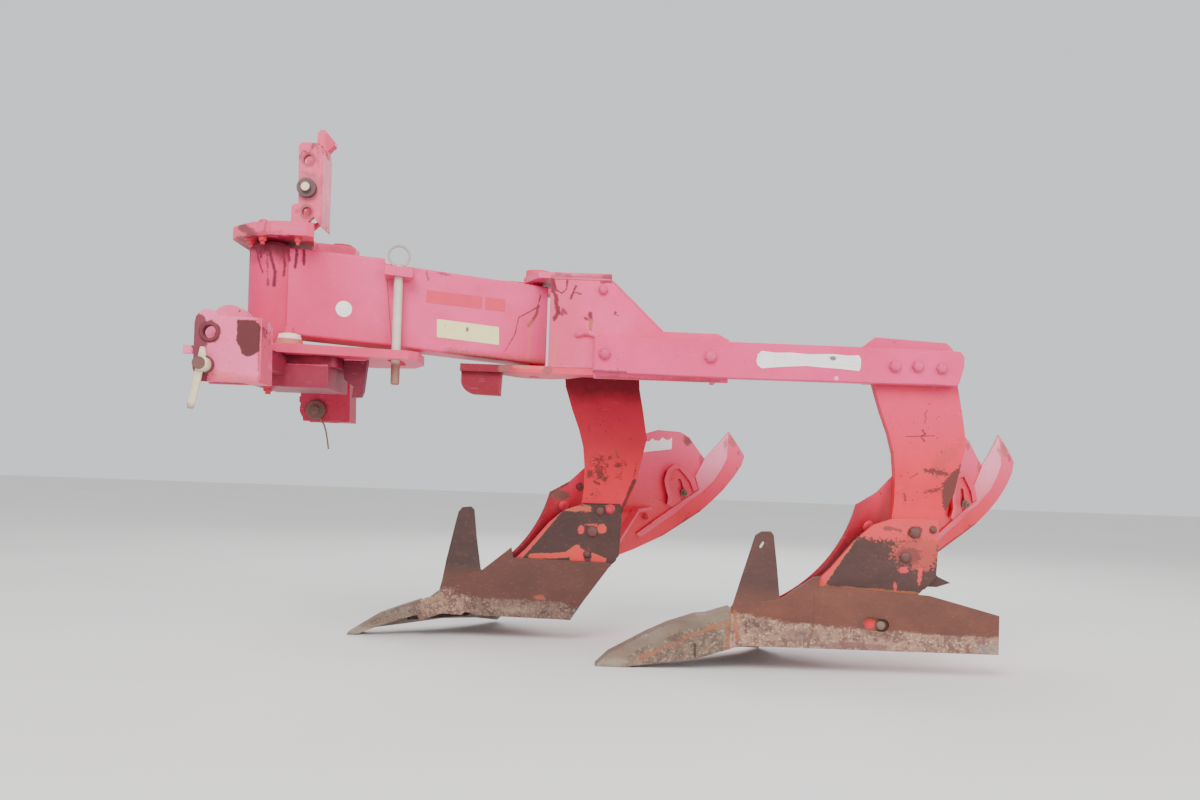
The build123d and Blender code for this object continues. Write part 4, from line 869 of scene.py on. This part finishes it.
M["label_white"] = sheet_mat("label_white", (246, 242, 240), 0.0, (220, 200, 204))
M["label_torn"] = sheet_mat("label_torn", (244, 236, 236), 0.05, (214, 176, 182))
M["label_bar"] = sheet_mat("label_bar", (238, 234, 232), 0.02, (206, 186, 190), extra=[
    ("blob", (W(628, -31, 799), R(9, 20, 6)), (96, 70, 72), 0.9, 0.005, 0.001),
    ("seg", (W(425, -31, 802), W(690, -31, 779), 0.0012), (206, 196, 198), 0.4, 0.002, 0.001)])
M["label_yellow"] = sheet_mat("label_yellow", (236, 222, 160), 0.0, (214, 190, 140), extra=[
    ("blob", (BM(521, 51, 851), R(4, 20, 7)), (96, 84, 60), 0.9, 0.004, 0.001),
    ("blob", (BM(460, 51, 856), R(3, 20, 4)), (190, 176, 120), 0.7, 0.003, 0.001)])
M["label_red"] = sheet_mat("label_red", (222, 40, 78), 0.02, (214, 60, 96))

NEG_Y = Vector((0, -1, 0))
BN = Vector((SA, -CA, 0))

# bolts on the carrying bar and the near plate
for i, (x, y, z, r) in enumerate([(0.7, -30, 789.7, 17), (291.7, -30, 791.6, 18), (799.4, -30, 782.7, 17), (862, -30, 784.9, 17), (927.6, -30, 781.2, 16), (-9.7, 0, 970.9, 14)]):
    bm = bmesh.new()
    hexbolt(bm, W(x, y, z), NEG_Y, r, 11, washer=0, roll=0.2 + i)
    domebolt(bm, W(x, y - 9, z), NEG_Y, r * 0.78, 6)
    o = piece("frame_bolt_%d" % i, bm, "rear_frame", "pink_bolt")
    mod = o.modifiers.new("soft", "BEVEL")
    mod.width = 0.0012
    mod.segments = 2

# nuts behind the bar, on the backing plates
for i, (x, y, z) in enumerate([(799.4, 44, 782.7), (862, 44, 784.9), (927.6, 44, 781.2)]):
    bm = bmesh.new()
    hexbolt(bm, W(x, y, z), (0, 1, 0), 16, 13, washer=1, stub=9, roll=0.1 + i)
    piece("bar_nut_%d" % i, bm, "rear_frame", "pink_bolt")
for i, (x, z) in enumerate([(0.7 - 70, 789.7), (0.7, 789.7), (72, 789.7)]):
    bm = bmesh.new()
    hexbolt(bm, W(x, 375 + 44, z + 22), (0, 1, 0), 16, 13, washer=1, stub=9, roll=0.1 + i)
    piece("front_leg_nut_%d" % i, bm, "rear_frame", "pink_bolt")

# frog bolts
for i, (body, x, z, r, kind, mat) in enumerate([
    ("front", 851, 280, 18, "dome", "dark_bolt"), ("front", 837, 208, 12, "dome", "dark_bolt"), ("front", 874, 345, 14, "dome", "dark_bolt"),
    ("front", 903, 351, 13, "dome", "red_bolt"),
    ("rear", 875, 328, 17, "hex", "dark_bolt"), ("rear", 925, 337, 10, "dome", "dark_bolt"), ("rear", 852, 258, 16, "dome", "dark_bolt"),
]):
    bm = bmesh.new()
    at = B(body, x, -14, z)
    if kind == "hex":
        hexbolt(bm, at, NEG_Y, r, 9, washer=0, roll=0.4)
        domebolt(bm, at + NEG_Y * 0.007, NEG_Y, r * 0.75, 5)
    else:
        domebolt(bm, at, NEG_Y, r, 8)
    piece("frog_bolt_%d" % i, bm, "rear_frame", mat, smooth=(kind == "dome"))

# bolt in the slot of the rear landside
bm = bmesh.new()
domebolt(bm, B("rear", 789, -14, 68), NEG_Y, 15, 11)
piece("landside_bolt", bm, "rear_frame", "grey_bolt", smooth=True)

# bolts on the back of each board
for body in ("front", "rear"):
    me = N[body + "_moldboard"].data
    tree = BVHTree.FromPolygons([v.co for v in me.vertices], [tuple(p.vertices) for p in me.polygons])
    spots = [(1164, 410, 11, "nut", "grey_bolt"), (1030, 322, 11, "nut", "red_bolt"), (756, 358 if body == "front" else 338, 19, "dome", "red_bolt")]
    if body == "front":
        spots.append((806, 420, 11, "dome", "dark_bolt"))
    for i, (x, z, r, kind, mat) in enumerate(spots):
        start = B(body, x, -60, z)
        hit, nrm, _, _ = tree.ray_cast(start, Vector((0, 1, 0)))
        if hit is None:
            continue
        if nrm.y > 0:
            nrm = -nrm
        bm = bmesh.new()
        if kind == "nut":
            lift = 0.011 if i == 0 else 0.0
            hexbolt(bm, hit + nrm * lift, nrm, r, 10, washer=1, stub=7, roll=0.5)
        else:
            domebolt(bm, hit, nrm, r, 9)
        piece("%s_board_bolt_%d" % (body, i), bm, "rear_frame", mat, smooth=(kind == "dome"))
    # faces of plough bolts, flush in the ploughing side
    for i, (y, z) in enumerate([(60, 170), (60, 300), (250, 150), (250, 420), (430, 360)]):
        start = B(body, -200, y, z)
        hit, nrm, _, _ = tree.ray_cast(start, Vector((1, 0, 0)))
        if hit is None:
            continue
        if nrm.x > 0:
            nrm = -nrm
        bm = bmesh.new()
        domebolt(bm, hit - nrm * 0.0004, nrm, 11, 1.6)
        piece("%s_face_bolt_%d" % (body, i), bm, "rear_frame", "grey_bolt", smooth=True)
    if body == "front":
        # remnant of a torn blank label, laid on the board's back
        rnd = random.Random(5)
        cols, rowsn = 34, 12
        bm = bmesh.new()
        grid = {}
        for a in range(cols + 1):
            u = a / cols
            topv = 1.0 - 0.30 * abs(math.sin(u * 9.3)) * (0.6 + 0.4 * rnd.random()) - (0.25 if u < 0.06 else 0.0)
            for b in range(rowsn + 1):
                v = b / rowsn * topv
                x = 1006 + 112 * u + 5 * (1 - v) * (1 - u) * -1
                z = 541 + 20 * u + (46 - 2 * u) * v
                hit, nrm, _, _ = tree.ray_cast(B(body, x, -60, z), Vector((0, 1, 0)))
                if hit is None:
                    continue
                if nrm.y > 0:
                    nrm = -nrm
                grid[a, b] = (bm.verts.new(hit + nrm * 0.0009), nrm)
        for a in range(cols):
            for b in range(rowsn):
                q = [(a, b), (a + 1, b), (a + 1, b + 1), (a, b + 1)]
                if all(k in grid for k in q):
                    bm.faces.new([grid[k][0] for k in q])
        o = piece("torn_label", bm, "rear_frame", "label_torn", smooth=True)
        sol = o.modifiers.new("thick", "SOLIDIFY")
        sol.thickness = 0.0005

# flange bolts and nuts below it
for i, (x, y, z, axis, r) in enumerate([(-955, -96, 1055, (0, 0, -1), 14), (-912, -135, 1055, (0, 0, -1), 11), (-818, -138, 1055, (0, 0, -1), 9)]):
    bm = bmesh.new()
    hexbolt(bm, W(x, y, z), axis, r, 12, washer=1, stub=8, roll=0.2 + i)
    piece("flange_nut_%d" % i, bm, "headstock", "red_bolt")
bm = bmesh.new()
for x, y in ((-912, -128), (-960, -60)):
    domebolt(bm, W(x, y, 1093), (0, 0, 1), 14, 8)
piece("flange_heads", bm, "headstock", "pink_bolt", smooth=True)

# stud below the cross member
bm = bmesh.new()
hexbolt(bm, W(-896, -101, 660), (0, 0, -1), 13, 10, washer=1, stub=7)
piece("cross_stud", bm, "headstock", "red_bolt")

# collar on the far hitch pin, with its wire tail
bm = bmesh.new()
rings(bm, W(-868, 249, 626), basis(NEG_Y), [(0.028, 0), (0.030, 0.002), (0.030, 0.010), (0.026, 0.014), (0.013, 0.015), (0.012, 0.020), (0.009, 0.022)], 28)
piece("far_collar", bm, "headstock", "hitch_pins")
bm = bmesh.new()
tail = [W(-862, 240, 612), W(-852, 238, 598), W(-840, 238, 580), W(-834, 238, 560), W(-829, 238, 535), W(-825, 238, 508)]
tube(bm, tail, 0.0024, 8)
piece("far_pin_tail", bm, "headstock", "wire", smooth=True)

# linch lever on the near hitch pin
bm = bmesh.new()
pts = [W(-888, -546, 706), W(-888, -546, 690), W(-891, -547, 672), W(-894, -549, 650), W(-898, -550, 625), W(-903, -551, 598), W(-908, -552, 574), W(-909, -552, 568)]
prev = None
first = None
for i, p in enumerate(pts):
    t = i / (len(pts) - 1)
    d = (pts[min(i + 1, len(pts) - 1)] - pts[max(i - 1, 0)]).normalized()
    x = d.cross(Vector((0, 1, 0))).normalized()
    y = d.cross(x)
    w = 0.0085 * (0.6 if i in (0, len(pts) - 1) else 1.0)
    th = 0.0042
    ring = []
    for j in range(12):
        a = 2 * math.pi * j / 12
        ring.append(bm.verts.new(p + x * w * math.copysign(abs(math.cos(a)) ** 0.6, math.cos(a)) + y * th * math.copysign(abs(math.sin(a)) ** 0.6, math.sin(a))))
    if prev:
        for j in range(12):
            bm.faces.new((prev[j], prev[(j + 1) % 12], ring[(j + 1) % 12], ring[j]))
    else:
        first = ring
    prev = ring
bm.faces.new(prev)
bm.faces.new(first[::-1])
rings(bm, W(-887, -537, 668), basis(NEG_Y), [(0.014, 0), (0.0165, 0.002), (0.0165, 0.018), (0.014, 0.022), (0.008, 0.024)], 24)
piece("linch_lever", bm, "headstock", "cream", smooth=True)

# rim round the lobe of the near bracket
bm = bmesh.new()
rings(bm, W(-884, -523, 743), basis(NEG_Y), [(0.0225, -0.001), (0.0225, 0.0016), (0.0205, 0.0024), (0.0155, 0.0024), (0.0148, 0.0014), (0.0148, -0.001)], 32, cap=False)
piece("lobe_rim", bm, "headstock", "left_bracket", smooth=True)

# labels, all blank
bm = bmesh.new()
c = BM(187, 55.2, 882)
ex, ez = Vector((CA, SA, 0)), Vector((0, 0, 1))
slab(bm, [c + ex * 0.0215 * math.cos(a) + ez * 0.0215 * math.sin(a) for a in (2 * math.pi * i / 40 for i in range(40))], BN, 0.0006)
piece("round_label", bm, "beam", "label_white")
bm = bmesh.new()
slab(bm, [BM(406, 51.2, 916), BM(560, 51.2, 909), BM(560, 51.2, 944), BM(406, 51.2, 951)], BN, 0.0003)
slab(bm, [BM(568, 51.2, 908.5), BM(625, 51.2, 906), BM(625, 51.2, 940.5), BM(568, 51.2, 943.5)], BN, 0.0003)
piece("red_stripe_labels", bm, "beam", "label_red")
bm = bmesh.new()
slab(bm, [BM(438, 51.2, 823), BM(611, 51.2, 812), BM(609, 51.2, 862), BM(437, 51.2, 873)], BN, 0.0006)
piece("yellow_label", bm, "beam", "label_yellow")
bm = bmesh.new()
out = []
edge = [(432, 813), (470, 809), (511, 811), (560, 808), (627, 811), (668, 808), (699, 810), (705, 800), (705, 789), (705, 776), (701, 767), (650, 771),
        (600, 773), (556, 776), (500, 772), (460, 768), (433, 765), (421, 774), (418, 786), (421, 803)]
out = [W(x, -30.2, z) for x, z in edge]
slab(bm, out, NEG_Y, 0.0006)
piece("bar_label", bm, "rear_frame", "label_bar")

# small drain hole on the near plate, and weld beads
bm = bmesh.new()
rings(bm, W(26.4, 0.2, 909.5), basis(NEG_Y), [(0.0036, 0), (0.0036, 0.0006), (0.0024, 0.0008)], 16)
piece("small_plug", bm, "rear_frame", "dark_bolt", smooth=True)
weld("weld_ledge", [W(-82, -1, 842), W(-60, -3, 850), W(-36, -3, 848), W(-14, -2, 836)], 0.0085, "rear_frame", "near")
weld("weld_near_top", [W(-150, 0.5, 999), W(12, 0.5, 999)], 0.0032, "rear_frame")
weld("weld_bar_front", [W(-28, -3, 838), W(-28, -3, 742)], 0.0045, "rear_frame")
weld("weld_arm", [W(-150, 1, 754), W(-30, 1, 754)], 0.0032, "rear_frame")
weld("weld_slope", [W(16, 0.5, 997), W(160, 0.5, 861)], 0.0026, "rear_frame")
weld("weld_ear", [BM(294, 56, 976), BM(364, 56, 973)], 0.0028, "beam")
weld("weld_barrel", [BM(59, 36, 812), BM(59, 36, 1030)], 0.0035, "beam")
weld("weld_barrel_far", [BM(59, -36, 812), BM(59, -36, 1030)], 0.0035, "beam")
weld("weld_mast", [W(-837, -139, 1095), W(-799, -139, 1095)], 0.0035, "headstock")
weld("weld_web", [W(-704, -71.5, 745), W(-642, -71.5, 745)], 0.0032, "headstock")
weld("weld_cross", [W(-923, -123, 719.5), W(-732, -123, 719.5)], 0.0035, "headstock")
weld("weld_bracket", [W(-768, -524, 776), W(-768, -524, 636)], 0.0026, "headstock", "left_bracket")
for body in ("front", "rear"):
    weld(body + "_frog_seam", [B(body, 818, -1, 366), B(body, 938, -1, 366)], 0.0028, "rear_frame", body + "_frog")

# ---------------------------------------------------------------------- stage
bpy.ops.mesh.primitive_plane_add(size=60, location=(0, 0, 0))
floor = bpy.context.object
floor.name = "stage_floor"
fm = Mat("stage_pale")
v = fm.noise(0.6, 3.0)
fm.link(fm.mix(fm.step(v, 0.3, 0.7), lin((232, 230, 226)), lin((226, 224, 220))), fm.b.inputs["Base Color"])
fm.b.inputs["Roughness"].default_value = 0.9
floor.data.materials.append(fm.m)

world = bpy.data.worlds.new("soft_world")
bpy.context.scene.world = world
world.use_nodes = True
bg = world.node_tree.nodes["Background"]
bg.inputs["Color"].default_value = (0.95, 0.97, 1.0, 1)
bg.inputs["Strength"].default_value = 0.95


def area(name, loc, target, size, power, col=(1, 1, 1)):
    d = bpy.data.lights.new(name, "AREA")
    d.energy = power
    d.size = size
    d.color = col
    o = bpy.data.objects.new(name, d)
    o.location = loc
    o.rotation_euler = (Vector(target) - Vector(loc)).to_track_quat("-Z", "Y").to_euler()
    bpy.context.collection.objects.link(o)
    return o


area("key", (-1.4, -4.6, 4.4), (0, 0, 0.6), 3.0, 320)
area("fill", (3.4, -3.6, 2.4), (0, 0, 0.6), 3.0, 120)
area("rim", (0.5, 4.0, 3.6), (0, 0, 0.7), 3.0, 110)
